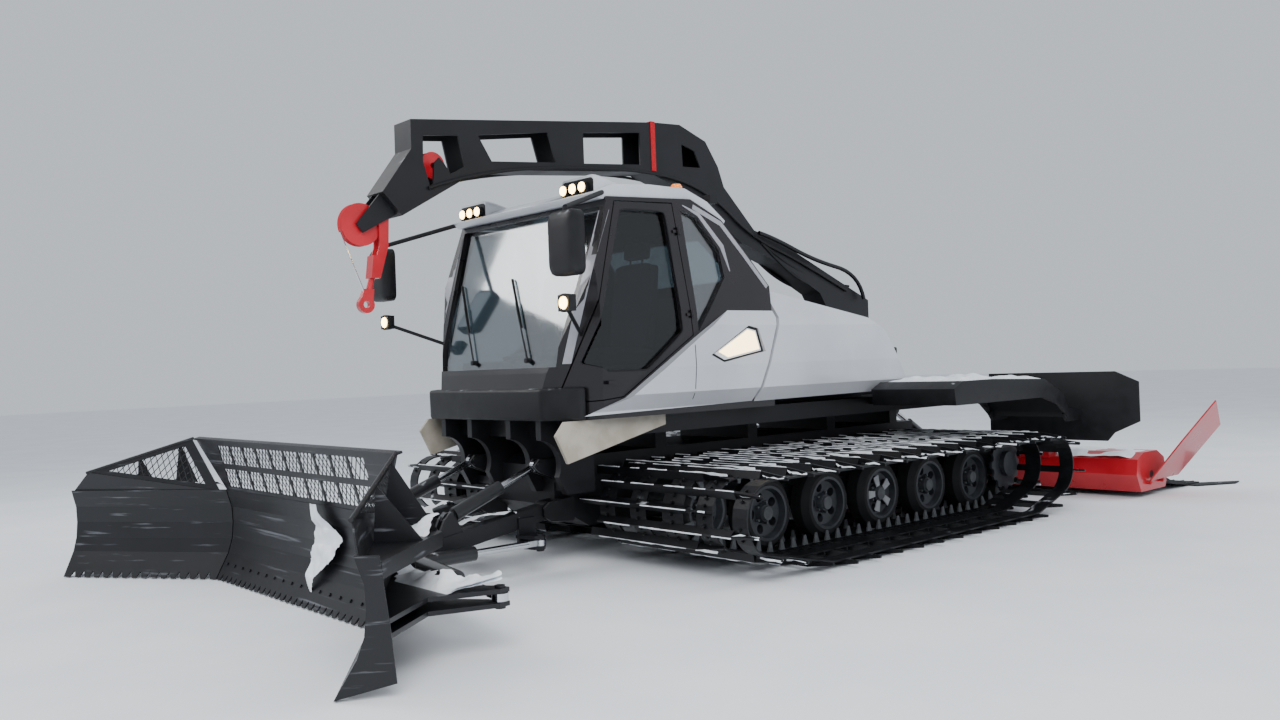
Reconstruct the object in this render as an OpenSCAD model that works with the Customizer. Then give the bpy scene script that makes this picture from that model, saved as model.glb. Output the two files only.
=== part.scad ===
// Tracked snow groomer with a folding front blade, a winch boom and a rear tiller.
// Millimetres. +X is forward, +Y is left, +Z is up, and the origin lies on the
// ground under the middle of the machine.

/* [Tracks] */
// Outer end of the long bars, from the centre line
track_out = 2250; // [2200:5:2300]
// Length of a long bar
bar_long = 1593; // [1500:1:1620]
// Length of a short bar
bar_short = 1380; // [1300:1:1400]
// How far a short bar's outer end lies inside a long bar's
bar_step = 400; // [380:5:420]
// Distance from one bar to the next along the belt
bar_pitch = 135; // [120:1:150]
// Height of a bar above its belts
bar_h = 48; // [40:1:52]
// Width of a bar's foot
bar_foot = 60; // [50:1:70]
// Length of the tapered outer end of a bar
bar_tip = 230; // [180:5:260]
// Thickness of a belt
belt_t = 12; // [10:1:14]
// Idler shaft, from the middle of the machine
idler_x = 1900; // [1880:5:1920]
// Sprocket shaft, from the middle of the machine
sprocket_x = -1970; // [-1990:5:-1950]
// Height of the idler's and the sprocket's shafts
drive_z = 430; // [420:5:440]
// Radius of the belt's inner face round the idler and the sprocket
drive_r = 243; // [235:1:248]

/* [Road wheels] */
// Radius of a tyre
wheel_r = 280; // [270:1:285]
// Width of a tyre
tyre_w = 190; // [160:5:200]
// Radius of a rim
rim_r = 205; // [190:1:215]
// Middle plane of the wheels, from the centre line
wheel_y = 1440; // [1400:5:1480]
// First road wheel
wheel_front = 1260; // [1240:5:1275]
// Distance between road wheels
wheel_pitch = 700; // [685:5:705]
// Radius of a wheel's axle
axle_r = 38; // [30:1:45]

/* [Chassis] */
// Half width of the tub
tub_half = 430; // [400:5:440]
// Front end of the tub
tub_front = 2400; // [2380:5:2420]
// Rear end of the tub
tub_rear = -2230; // [-2260:5:-2210]
// Height of the tub's floor
tub_floor = 260; // [250:5:280]
// Height of the tub's top
tub_top = 800; // [780:5:820]
// Half width of the upper frame
deck_half = 900; // [860:5:940]
// Underside of the upper frame
deck_low = 960; // [940:5:970]
// Top of the upper frame, which carries the cab and the body
deck_top = 1100; // [1095:1:1105]
// Rear end of the upper frame
deck_rear = -2120; // [-2150:5:-2100]

/* [Cab] */
// Half width of the cab
cab_half = 1020; // [990:5:1040]
// Top of the cab's side walls
cab_top = 2700; // [2680:5:2720]
// Top of the roof
roof_top = 2825; // [2810:5:2840]
// Thickness of the cab's walls
cab_wall = 34; // [30:1:40]
// Thickness of the glass
glass_t = 8; // [6:1:10]
// Foot of the windscreen, from the middle of the machine
screen_foot = 2640; // [2620:5:2660]
// Top of the windscreen, from the middle of the machine
screen_head = 2230; // [2200:5:2260]
// Gap round a door
door_gap = 8; // [6:1:10]

/* [Body] */
// How far the silver body stands out past the cab
body_out = 80; // [60:5:100]
// Thickness of a body panel
panel_t = 30; // [25:1:35]
// Gap between the front and the rear body panels
seam = 22; // [16:1:28]

/* [Blade] */
// Cutting edge at the fold, from the middle of the machine
blade_x = 4330; // [4300:5:4360]
// Half width of the cutting edge of the middle section
blade_half = 1180; // [1150:5:1200]
// Height of the plate under the screen
blade_plate_h = 650; // [640:5:680]
// Height of the top rail
blade_h = 1035; // [1030:5:1060]
// Thickness of the plate
blade_t = 16; // [12:1:20]
// Length of a wing's cutting edge
wing_len = 1352; // [1320:2:1380]
// Forward angle of the wings
wing_fold = 34; // [30:1:38]
// Clearance under the cutting edges
blade_gap = 6; // [4:1:8]
// Gap between the middle section and a wing
fold_gap = 10; // [8:1:14]
// Distance between the teeth of the cutting edges
tooth_pitch = 85; // [80:1:95]
// Depth of the notches between the teeth
tooth_h = 42; // [36:1:46]

/* [Push frame] */
// Pivot of the push frame on the tub
push_x = 2500; // [2480:5:2520]
// Height of that pivot
push_z = 420; // [400:5:440]
// Half distance of the push frame's arms
push_half = 430; // [420:5:440]
// Swing pivot of the blade, from the middle of the machine
swing_x = 3820; // [3800:5:3840]
// Height of the swing head, its tilt pin and the swing cylinders
swing_z = 235; // [230:1:240]
// Place of the swing cylinders to each side
swing_y = 640; // [630:5:650]
// Outer radius of a hydraulic barrel
barrel_r = 50; // [44:1:54]
// Radius of a hydraulic rod
rod_r = 26; // [22:1:30]
// Gap between a pin and its bore
pin_gap = 0.05; // [0.02:0.01:0.09]

/* [Winch] */
// Slewing axis of the boom, from the middle of the machine
slew_x = -1750; // [-1780:5:-1730]
// Radius of the slewing ring
slew_r = 250; // [230:5:260]
// Top of the slewing ring's lower half
slew_z = 1640; // [1630:5:1650]
// Half width of the boom
boom_half = 118; // [100:1:130]
// Thickness of the boom's plates
boom_t = 16; // [12:1:20]
// Radius of the tip sheave
sheave_r = 150; // [140:1:160]
// Radius of the inner sheave
inner_r = 100; // [90:1:110]

/* [Tiller] */
// Pivot of the tiller's lift frame
tiller_x = -2330; // [-2350:5:-2320]
// Height of that pivot
tiller_z = 600; // [580:5:620]
// Half width of the tiller
tiller_half = 2270; // [2240:5:2290]
// Shaft of the tiller, from the middle of the machine
shaft_x = -3560; // [-3580:5:-3540]
// Height of the tiller's shaft
shaft_z = 215; // [210:1:230]
// Radius of the tiller's shaft tube
shaft_r = 95; // [85:1:105]
// Radius of the circle round the teeth
tine_r = 190; // [180:1:200]
// Length of a side flap of the tiller, from its hinge
side_len = 940; // [900:5:960]

/* [Hidden] */
$fn = 48;

body_half = cab_half + body_out;
seat = 0.3; // gap where two pieces rest on each other
through = 2; // overrun of a cut past a face

// Extrudes an outline in X and Z from y0 to y1
module across(y0, y1) {
    translate([0, y1, 0]) rotate([90, 0, 0]) linear_extrude(y1 - y0) children();
}
// Extrudes an outline in Y and Z from x0 to x1
module along(x0, x1) {
    translate([x0, 0, 0]) rotate([90, 0, 90]) linear_extrude(x1 - x0) children();
}
// A cylinder along Y
module shaft(x, z, y0, y1, r) {
    translate([x, y1, z]) rotate([90, 0, 0]) cylinder(h = y1 - y0, r = r);
}
module both_sides() {
    children();
    mirror([0, 1, 0]) children();
}
module block(x0, x1, y0, y1, z0, z1) {
    translate([x0, y0, z0]) cube([x1 - x0, y1 - y0, z1 - z0]);
}
// A cylinder from one point to another
module strut(a, b, r) {
    d = b - a;
    translate(a) rotate([0, acos(d.z / norm(d)), atan2(d.y, d.x)]) cylinder(h = norm(d), r = r);
}
function unit(v) = v / norm(v);
// Moves each edge of an anticlockwise outline outwards by d
function outset(p, d) = [
    for (i = [0 : len(p) - 1])
        let (n = len(p), a = p[(i + n - 1) % n], b = p[i], c = p[(i + 1) % n],
            u = unit(b - a), v = unit(c - b), m = [u.y, -u.x], k = [v.y, -v.x])
        b + (m + k) * d / (1 + m * k)
];

// Track: circles that the belt wraps, as x, z and radius
wheel_count = 5;
tyre_z = bar_h + belt_t + seat + wheel_r;
wheel_last = wheel_front - (wheel_count - 1) * wheel_pitch;
rounds = [
    [sprocket_x, drive_z, drive_r],
    [idler_x, drive_z, drive_r],
    [wheel_front, tyre_z, wheel_r + seat],
    [wheel_last, tyre_z, wheel_r + seat]
];
round_steps = [12, 12, 6, 6];
// Each belt: its middle, its width
belts = [[745, 170], [1085, 170], [1440, 200], [1755, 150], [2080, 130]];
bar_sunk = 5;
function heading(a, b) =
    let (d = [b.x - a.x, b.y - a.y]) atan2(d.y, d.x) - asin((a.z - b.z) / norm(d));
leave = [for (i = [0 : 3]) heading(rounds[i], rounds[(i + 1) % 4])];
arrive = [for (i = [0 : 3]) let (h = leave[(i + 3) % 4]) h < leave[i] ? h + 360 : h];
function rim_point(i, h, e) =
    [rounds[i].x - (rounds[i].z + e) * sin(h), rounds[i].y + (rounds[i].z + e) * cos(h)];
function loop_points(e) = [
    for (i = [0 : 3]) for (k = [0 : round_steps[i]])
        rim_point(i, arrive[i] + (leave[i] - arrive[i]) * k / round_steps[i], e)
];
arc_len = [for (i = [0 : 3]) (arrive[i] - leave[i]) * PI / 180 * (rounds[i].z + belt_t)];
run_len = [
    for (i = [0 : 3])
        norm(rim_point((i + 1) % 4, leave[i], belt_t) - rim_point(i, leave[i], belt_t))
];
function loop_start(i) = i == 0 ? 0 : loop_start(i - 1) + arc_len[i - 1] + run_len[i - 1];
loop_len = loop_start(4);
bar_count = 2 * round(loop_len / bar_pitch / 2);
function round_at(s) =
    s < loop_start(1) ? 0 : s < loop_start(2) ? 1 : s < loop_start(3) ? 2 : 3;
// Place on the belt's outer face at the length s: x, z and heading
function bar_place(s) =
    let (i = round_at(s), t = s - loop_start(i), on_arc = t < arc_len[i],
        h = on_arc ? arrive[i] + (leave[i] - arrive[i]) * t / arc_len[i] : leave[i],
        p = rim_point(i, h, belt_t), more = on_arc ? 0 : t - arc_len[i])
    [p.x + more * cos(h), p.y + more * sin(h), h];

module bar(y0, y1) {
    ridge = bar_foot / 4;
    tip_h = bar_h / 3;
    across(y0, y1 - bar_tip)
        polygon([[-bar_foot / 2, -bar_sunk], [bar_foot / 2, -bar_sunk], [ridge / 2, bar_h], [-ridge / 2, bar_h]]);
    translate([-ridge / 2, y1 - bar_tip, 0]) rotate([90, 0, 90]) linear_extrude(ridge)
        polygon([[0, -bar_sunk], [bar_tip, -bar_sunk], [bar_tip, tip_h], [0, bar_h]]);
}
module track() {
    for (b = belts) difference() {
        across(b[0] - b[1] / 2, b[0] + b[1] / 2) polygon(loop_points(belt_t));
        across(b[0] - b[1], b[0] + b[1]) polygon(loop_points(0));
    }
    for (i = [0 : bar_count - 1]) {
        p = bar_place(i * loop_len / bar_count);
        y1 = i % 2 == 0 ? track_out : track_out - bar_step;
        translate([p.x, 0, p.y]) rotate([0, -p.z, 0]) bar(y1 - (i % 2 == 0 ? bar_long : bar_short), y1);
    }
}
module track_left() {
    color("#2b2d30") track();
}
module track_right() {
    color("#2b2d30") mirror([0, 1, 0]) track();
}

// Wheels: each place along the machine, as x, z and tyre radius
places = concat(
    [[idler_x, drive_z, drive_r * cos((arrive[1] - leave[1]) / round_steps[1] / 2) - seat]],
    [for (i = [0 : wheel_count - 1]) [wheel_front - i * wheel_pitch, tyre_z, wheel_r]]
);
shoulder = 45;
module tyre(r) {
    rotate([90, 0, 0]) rotate_extrude() polygon([
        [rim_r * r / wheel_r + seat, -tyre_w / 2], [r - shoulder, -tyre_w / 2], [r, -tyre_w / 2 + shoulder],
        [r, tyre_w / 2 - shoulder], [r - shoulder, tyre_w / 2], [rim_r * r / wheel_r + seat, tyre_w / 2]
    ]);
}
module tyres() {
    color("#1b1c1e") both_sides() for (p = places) translate([p.x, wheel_y, p.y]) tyre(p.z);
}
dish = 50;
spokes = 5;
module rim(r) {
    difference() {
        rotate([-90, 0, 0]) rotate_extrude() polygon([
            [0, -tyre_w / 2 + 20], [r - 25, -tyre_w / 2 + 20], [r, -tyre_w / 2], [r, tyre_w / 2],
            [r - 20, tyre_w / 2], [r - 35, tyre_w / 2 - dish], [axle_r + 40, tyre_w / 2 - dish * 1.3],
            [axle_r + 25, tyre_w / 2 - dish / 2], [0, tyre_w / 2 - dish / 2]
        ]);
        for (a = [0 : 360 / spokes : 359]) rotate([0, a, 0])
            translate([r * 0.6, tyre_w, 0]) rotate([90, 0, 0]) cylinder(h = tyre_w * 2, r = r * 0.17);
    }
}
disc_t = 24;
disc_places = [915, 1265, 1600];
module sprocket() {
    teeth = 12;
    for (y = disc_places) translate([0, y, 0]) across(-disc_t / 2, disc_t / 2) polygon([
        for (i = [0 : teeth - 1], k = [[-11, -30], [-5, -2], [5, -2], [11, -30]])
            let (a = i * 360 / teeth + k[0], r = drive_r + k[1]) [r * cos(a), r * sin(a)]
    ]);
    shaft(0, 0, tub_half, disc_places[2] + 60, 115);
    shaft(0, 0, tub_half, tub_half + 150, 190);
}
arm_w = 90;
arm_lead = 240; // from a wheel's axle forward to its arm's pivot
arm_rise = 100;
module wheels() {
    arm_at = wheel_y - tyre_w / 2 - arm_w - 60;
    color("#26282b") both_sides() {
        for (p = places) {
            translate([p.x, wheel_y, p.y]) rim(rim_r * p.z / wheel_r);
            if (p.x < idler_x) {
                shaft(p.x, p.y, arm_at, wheel_y, axle_r);
                across(arm_at, arm_at + arm_w) polygon([
                    [p.x - 60, p.y - 50], [p.x + 20, p.y - 60], [p.x + arm_lead + 50, p.y + arm_rise - 30],
                    [p.x + arm_lead + 30, p.y + arm_rise + 50], [p.x + arm_lead - 30, p.y + arm_rise + 50],
                    [p.x - 60, p.y + 50]
                ]);
                shaft(p.x + arm_lead, p.y + arm_rise, tub_half, arm_at + arm_w, axle_r + 8);
            } else
                shaft(p.x, p.y, tub_half, wheel_y, axle_r);
        }
        translate([sprocket_x, 0, drive_z]) sprocket();
    }
}

// Chassis
nose_posts = [260, 640];
post_w = 60;
hinge_r = 70;
push_pin_r = 30;
arm_half = 55; // half width of a push arm and of a tiller arm
side_gap = 5; // at each side of an arm's hub
lug_t = 24;
module chassis() {
    deck_front = screen_foot - 120;
    nose = deck_front + 160;
    color("#202225") {
        across(-tub_half + seat, tub_half - seat) polygon([
            [tub_rear, drive_z - 150], [tub_rear + 160, tub_floor], [tub_front - 320, tub_floor],
            [tub_front, tub_floor + 190], [tub_front, tub_top - 60], [tub_front - 100, tub_top],
            [tub_rear, tub_top]
        ]);
        block(deck_rear, deck_front, -deck_half, deck_half, deck_low, deck_top);
        for (x = [-1900, -900, 200, 1300, 2150])
            block(x - 60, x + 60, -tub_half + seat, tub_half - seat, tub_top - 10, deck_low + 10);
        both_sides() for (y = nose_posts) across(y - post_w / 2, y + post_w / 2) difference() {
            polygon([[tub_front - 200, tub_top - 250], [tub_front + 60, tub_top - 250],
                [nose, deck_low], [nose, deck_top], [tub_front - 200, deck_top]]);
            translate([tub_front + 300, tub_top - 30]) circle(r = 190);
        }
        both_sides() block(tub_front - 190, tub_front - 10, tub_half - 20, nose_posts[1], 560, 620);
        both_sides() for (y = [push_half - arm_half - side_gap - 24, push_half + arm_half + side_gap])
            across(y, y + 24) push_lug();
        both_sides() block(tub_front - 120, tub_front, tub_half - 20, push_half + arm_half + side_gap + 24, push_z - 80, push_z + 80);
        both_sides() shaft(push_x, push_z, push_half - arm_half - side_gap - 24, push_half + arm_half + side_gap + 24, push_pin_r);
        both_sides() eye_lugs(push_half) lift_lug();
        both_sides() block(tub_front - 120, tub_front, tub_half - 20, push_half + eye_half + lug_t + 4, 620, 735);
        both_sides() for (y = [tiller_arm_y - arm_half - side_gap - 24, tiller_arm_y + arm_half + side_gap])
            across(y, y + 24) polygon([
                [tub_rear + 10, tiller_z - 120], [tiller_x - 20, tiller_z - 60], [tiller_x - 60, tiller_z],
                [tiller_x - 20, tiller_z + 60], [tub_rear + 10, tiller_z + 120]
            ]);
        both_sides() shaft(tiller_x, tiller_z, tiller_arm_y - arm_half - side_gap - 24, tiller_arm_y + arm_half + side_gap + 24, push_pin_r);
        both_sides() eye_lugs(t_lift_y) polygon([
            [tub_rear + 200, tub_top - 20], [t_top.x + 20, t_top.y - 60], [t_top.x - 45, t_top.y],
            [t_top.x, t_top.y + 48], [tub_rear + 330, deck_low + 10]
        ]);
        both_sides() eye_heads(t_top, t_lift_y);
        both_sides() eye_heads(lift_top, push_half);
    }
}
module push_lug() {
    polygon([[tub_front - 110, push_z - 90], [push_x, push_z - hinge_r], [push_x + 60, push_z - 30],
        [push_x + 60, push_z + 30], [push_x, push_z + hinge_r], [tub_front - 110, push_z + 90]]);
}
module engine() {
    color("#5a5d60") block(-650, 350, -330, 330, deck_top + seat, deck_top + 560);
}

// Cab: side outline, anticlockwise, as x and z
cab_floor = deck_top + seat;
cab_back = 560;
cab_side = [
    [cab_back, cab_floor], [screen_foot + 20, cab_floor], [screen_foot + 30, 1300], [screen_foot, 1440],
    [screen_head, cab_top], [1380, cab_top + 40], [1060, 2600], [830, 2370], [cab_back, 2080]
];
cowl_z = 1440;
head_in = 70; // how far the walls lean in at the roof
module cab_form(o) {
    h = cab_half + o;
    intersection() {
        across(-h, h) polygon(outset(cab_side, o));
        along(0, 3000) polygon([
            [-h, cab_floor - 100], [h, cab_floor - 100], [h, 1900], [h - head_in, cab_top + 100],
            [-h + head_in, cab_top + 100], [-h, 1900]
        ]);
        translate([0, 0, cab_floor - 100]) linear_extrude(2000) polygon([
            [0, -h], [2380 + o, -h], [screen_foot + 60 + o, -h + 380], [screen_foot + 100 + o, 0],
            [screen_foot + 60 + o, h - 380], [2380 + o, h], [0, h]
        ]);
    }
}
door_line = [
    [2190, 1254], [2600, 1218], [2160, 2668], [1590, 2690], [1470, 1690]
];
door_window = [
    [1950, 1440], [2330, 1446], [2480, 1500], [2115, 2610], [1670, 2618], [1570, 1720]
];
quarter_window = [
    [1405, 1715], [1500, 2655], [1330, 2600], [1120, 2360], [1080, 2140]
];
screen_low = 1480;
screen_top = cab_top - 60;
module screen_cut(o) {
    along(2050, 3000) polygon(outset([
        [-cab_half + 255, screen_low], [cab_half - 255, screen_low], [cab_half - 120, screen_top], [-cab_half + 120, screen_top]
    ], o));
}
rear_window = [[-cab_half + 320, 2150], [cab_half - 320, 2150], [cab_half - 400, 2480], [-cab_half + 400, 2480]];
module window_cuts(o) {
    both_sides() across(cab_half - 200, cab_half + 100) polygon(outset(quarter_window, o));
    along(0, 1200) polygon(outset(rear_window, o));
}
// Door hinge: its axis in the frame of a door's rear edge, from low to high
hinge_out = 26;
hinge_low = [1462, cab_half + hinge_out, 1690];
hinge_high = [1582, cab_half - head_in + hinge_out, 2690];
hinge_places = [160, 800];
door_pin_r = 7;
door_in = cab_half - 420;
module door_prism(line) {
    across(door_in, cab_half + 100) polygon(line);
}
module hinge_frame(s) {
    d = hinge_high - hinge_low;
    translate(hinge_low) rotate([-asin(d.y / norm(d)), atan2(d.x, d.z), 0]) translate([0, 0, s]) children();
}
module frame_lug() {
    for (z = [-30, 12]) translate([0, 0, z]) {
        cylinder(h = 18, r = 13);
        block(-48, 0, -18, -4, 0, 18);
    }
    translate([0, 0, -30]) cylinder(h = 60, r = door_pin_r);
}
module door_lug() {
    difference() {
        union() {
            translate([0, 0, -11]) cylinder(h = 22, r = 13);
            block(4, 52, -18, -4, -11, 11);
        }
        translate([0, 0, -40]) cylinder(h = 80, r = door_pin_r + pin_gap);
    }
}
module cab_frame() {
    color("#25272b") {
        difference() {
            cab_form(0);
            cab_form(-cab_wall);
            window_cuts(0);
            screen_cut(0);
            both_sides() door_prism(outset(door_line, door_gap));
        }
        dash_x = 2320;
        block(dash_x, 2480, -cab_half + 380, cab_half - 380, cab_floor + cab_wall - 1, 1540);
        block(dash_x - 250, dash_x + 1, -180, 180, cab_floor + cab_wall - 1, 1460);
        both_sides() for (s = hinge_places) hinge_frame(s) frame_lug();
    }
}
module cab_glass() {
    color("#9db4c0", 0.4) intersection() {
        difference() {
            cab_form(-cab_wall - seat);
            cab_form(-cab_wall - seat - glass_t);
        }
        union() {
            screen_cut(12);
            window_cuts(12);
        }
    }
}
module door() {
    difference() {
        intersection() {
            cab_form(0);
            door_prism(door_line);
        }
        cab_form(-cab_wall);
        door_prism(door_window);
    }
    block(2250, 2350, cab_half + 14, cab_half + 30, 1345, 1370);
    for (x = [2250, 2332]) block(x, x + 18, cab_half - 10, cab_half + 15, 1345, 1370);
    for (s = hinge_places) hinge_frame(s) door_lug();
}
module door_left() {
    color("#1f2124") door();
}
module door_right() {
    color("#1f2124") mirror([0, 1, 0]) door();
}
module door_pane() {
    intersection() {
        difference() {
            cab_form(-cab_wall - seat);
            cab_form(-cab_wall - seat - glass_t);
        }
        door_prism(outset(door_window, 14));
    }
}
module door_glass_left() {
    color("#9db4c0", 0.4) door_pane();
}
module door_glass_right() {
    color("#9db4c0", 0.4) mirror([0, 1, 0]) door_pane();
}
roof_half = cab_half - head_in - 10;
roof_line = [
    [1010, 2560], [1380, cab_top], [screen_head + 60, cab_top - 20], [screen_head + 110, cab_top + 25],
    [2150, roof_top - 25], [1800, roof_top], [1420, roof_top], [1180, 2740], [980, 2600]
];
module cab_roof() {
    color("#c9ccd1") difference() {
        across(-roof_half, roof_half) polygon(roof_line);
        cab_form(seat);
    }
}
module cab_nose() {
    color("#1d1f22") difference() {
        intersection() {
            cab_form(70);
            block(2500, 3000, -cab_half + 40, cab_half - 40, deck_top + seat, 1330);
        }
        cab_form(seat);
    }
}
seat_x = 1560;
cushion_z = 1480;
module seats() {
    color("#2a2b2e") for (y = [-480, 480]) translate([0, y, 0]) {
        block(seat_x, seat_x + 500, -250, 250, cushion_z, cushion_z + 120);
        across(-230, 230) polygon([
            [seat_x, cushion_z + 100], [seat_x + 130, cushion_z + 100], [seat_x + 30, 2280], [seat_x - 80, 2280]
        ]);
        for (k = [-70, 70]) translate([seat_x - 25, k, 2260]) cylinder(h = 60, r = 8);
        block(seat_x - 70, seat_x + 10, -130, 130, 2310, 2440);
        translate([seat_x + 250, 0, cab_floor + cab_wall + seat])
            cylinder(h = cushion_z - cab_floor - cab_wall, r = 90);
    }
}

// Silver body: side outlines, anticlockwise, as x and z
body_low = 1150;
body_front = [
    [850, body_low + 5], [2560, 1128], [2178, 1240], [1449, 1672], [859, 2002], [690, 2090], [606, 2070], [537, 1822]
];
body_rear = [
    [-1120, body_low + 14], [820, body_low], [500, 1822], [560, 2062], [-700, 1824], [-915, 1707], [-1190, 1272]
];
// Cross-section of the body's left side, as y and z
module body_section(o) {
    polygon([
        [0, 1000], [body_half - 70 + o, 1000], [body_half - 70 + o, body_low], [body_half - 10 + o, body_low + 110],
        [body_half + o, 1450], [body_half - 25 + o, 1760], [body_half - 90 + o, 1900],
        [body_half - 190 + o, 2110 + o], [0, 2110 + o]
    ]);
}
deck_edge = 640;
module body_shell(outline) {
    difference() {
        intersection() {
            across(0, 1300) polygon(outline);
            along(-1500, 3000) body_section(0);
        }
        intersection() {
            across(-10, 1300) polygon(outset(outline, -panel_t));
            along(-1500, 3000) body_section(-panel_t);
        }
    }
}
module side_panel() {
    difference() {
        body_shell(body_front);
        cab_form(seat);
        block(-2000, 3000, -20, cab_half + seat, 0, 3000);
        lamp_recess();
    }
}
lamp_line = [[1350, 1530], [1215, 1470], [725, 1548], [790, 1733], [900, 1755]];
module lamp_recess() {
    across(body_half - 80, body_half + 50) polygon(lamp_line);
}
module side_panels() {
    color("#d4d6da") both_sides() side_panel();
}
// Hinges of the engine covers, above the seam beside the deck
cover_low = [-700, deck_edge, 1824];
cover_high = [560, deck_edge, 2062];
cover_rise = 12;
cover_hinges = [300, 1000];
cover_pin_r = 5;
module cover_frame(s) {
    d = cover_high - cover_low;
    translate(cover_low) rotate([0, atan2(d.x, d.z), 0]) translate([-cover_rise, 0, s]) children();
}
module deck_lug() {
    for (z = [-31, 11]) translate([0, 0, z]) {
        cylinder(h = 20, r = cover_rise - 2);
        block(0, cover_rise + 5, -30, -1, 0, 20);
    }
    translate([0, 0, -31]) cylinder(h = 62, r = cover_pin_r);
}
module cover_lug() {
    difference() {
        union() {
            translate([0, 0, -10]) cylinder(h = 20, r = cover_rise - 2);
            block(0, cover_rise + 3, 1, 30, -10, 10);
        }
        translate([0, 0, -40]) cylinder(h = 80, r = cover_pin_r + pin_gap);
    }
}
module engine_cover() {
    for (s = cover_hinges) cover_frame(s) cover_lug();
    difference() {
        body_shell(body_rear);
        block(-2000, 3000, -20, deck_edge, 0, 3000);
        cab_form(4);
    }
}
module engine_cover_left() {
    color("#d4d6da") engine_cover();
}
module engine_cover_right() {
    color("#d4d6da") mirror([0, 1, 0]) engine_cover();
}
module engine_deck() {
    deck = [
        [-1165, 1290], [-1110, deck_top + seat], [548, deck_top + seat], [548, 2059], [-700, 1823], [-914, 1706]
    ];
    color("#26282b") difference() {
        across(-deck_edge + seat, deck_edge - seat) polygon(deck);
        across(-deck_edge + 30, deck_edge - 30) polygon(concat(
            [[-1070, deck_top - 10], [520, deck_top - 10]], [for (i = [3, 4, 5, 0]) deck[i] + [i == 3 ? -28 : 22, -34]]
        ));
    }
    color("#26282b") both_sides() for (s = cover_hinges) cover_frame(s) deck_lug();
}
skirt = [[1700, 1020], [2640, 800], [2740, 1000], [2660, 1095], [1700, 1095]];
module skirts() {
    color("#b9b3a8") both_sides() across(deck_half + seat, deck_half + 26) polygon(skirt);
}
fender_in = body_half + 15;
fender_out = 1950;
fender_line = [
    [-620, 1180], [-640, 1040], [-2080, 1040], [-2380, 960], [-2560, 830], [-2600, 850],
    [-2470, 1060], [-2120, 1210], [-1250, 1240], [-760, 1240]
];
flap_x = -2850;
module fenders() {
    color("#222427") both_sides() {
        difference() {
            across(fender_in, fender_out) polygon(fender_line);
            across(fender_in + 30, fender_out - 30) polygon([
                [-660, 1160], [-660, 1000], [-2080, 1000], [-2380, 920], [-2560, 780], [-2585, 800],
                [-2440, 1040], [-2110, 1180], [-1250, 1210], [-760, 1210]
            ]);
        }
        for (x = [-900, -1900]) block(x - 30, x + 30, deck_half + seat, fender_in + 20, deck_low + 80, deck_top);
        along(flap_x - 8, flap_x + 8) polygon([
            [960, 590], [2180, 590], [2250, 670], [2490, 780], [2490, 1150], [2270, 1250], [960, 1250]
        ]);
        for (y = [fender_in + 15, fender_out - 45]) across(y, y + 30)
            polygon([[flap_x, 880], [flap_x, 790], [-2560, 790], [-2500, 860], [-2560, 920]]);
    }
}

// Winch and boom: outline anticlockwise as x and z
winch_top = slew_z - 80;
module winch() {
    color("#1e2023") {
        block(-2060, -1260, -400, 400, deck_top + seat, winch_top);
        translate([slew_x, 0, winch_top - 5]) cylinder(h = slew_z - winch_top + 5, r = slew_r);
    }
}
boom_line = [
    [slew_x - 230, slew_z + 60], [slew_x + 260, slew_z + 60], [-1200, 2120], [-600, 2400], [-100, 2560],
    [560, 2960], [1046, 3116], [2561, 2990], [2860, 2910], [3414, 2590], [3560, 2750], [3323, 3075],
    [3322, 3286], [967, 3548], [656, 3565], [340, 3452], [190, 3240], [120, 3060], [-267, 2690], [-620, 2600],
    [-1650, 2190], [slew_x - 230, 2060]
];
boom_windows = [
    [[2031, 3100], [2640, 3050], [2757, 3235], [2100, 3330]],
    [[1130, 3170], [1744, 3120], [1744, 3370], [1130, 3440]],
    [[415, 3209], [632, 3200], [640, 3400], [480, 3350]],
    [[2880, 2990], [3180, 2820], [3230, 2990], [3225, 3180], [2930, 3210]]
];
tip = [3689, 2522];
inner = [3096, 2990];
tip_pin_r = 20;
tip_half = 60;
module boom() {
    color("#212327") {
        difference() {
            across(-boom_half, boom_half) polygon(boom_line);
            across(-boom_half + boom_t, boom_half - boom_t) polygon(outset(boom_line, -boom_t));
            for (w = boom_windows) across(-boom_half - 5, boom_half + 5) polygon(w);
        }
        translate([slew_x, 0, slew_z + seat]) cylinder(h = 70, r = slew_r - 5);
        for (y = [-tip_half, tip_half - 14]) across(y, y + 14)
            polygon([[3400, 2620], [tip.x, tip.y - 60], [tip.x + 50, tip.y], [tip.x, tip.y + 60], [3540, 2760]]);
        shaft(tip.x, tip.y, -tip_half, tip_half, tip_pin_r);
        shaft(inner.x, inner.y, -boom_half + 2, boom_half - 2, tip_pin_r);
        both_sides() across(boom_half - boom_t, boom_half) polygon([
            [2960, 2860], [3160, 2750], inner + [44, 0], inner + [0, 44], inner + [-44, 0]
        ]);
    }
}
module wheel_sheave(r, w) {
    rotate([90, 0, 0]) rotate_extrude() polygon([
        [tip_pin_r + pin_gap, -w / 2], [r, -w / 2], [r - 22, 0], [r, w / 2], [tip_pin_r + pin_gap, w / 2]
    ]);
}
module tip_sheave() {
    color("#a3222c") translate([tip.x, 0, tip.y]) wheel_sheave(sheave_r, 56);
}
module inner_sheave() {
    color("#a3222c") translate([inner.x, 0, inner.y]) wheel_sheave(inner_r, 56);
}
rope_r = 7;
hook_eye = [3660, 1965];
hook_bore = 25;
guide_foot = [3600, 2150];
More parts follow.
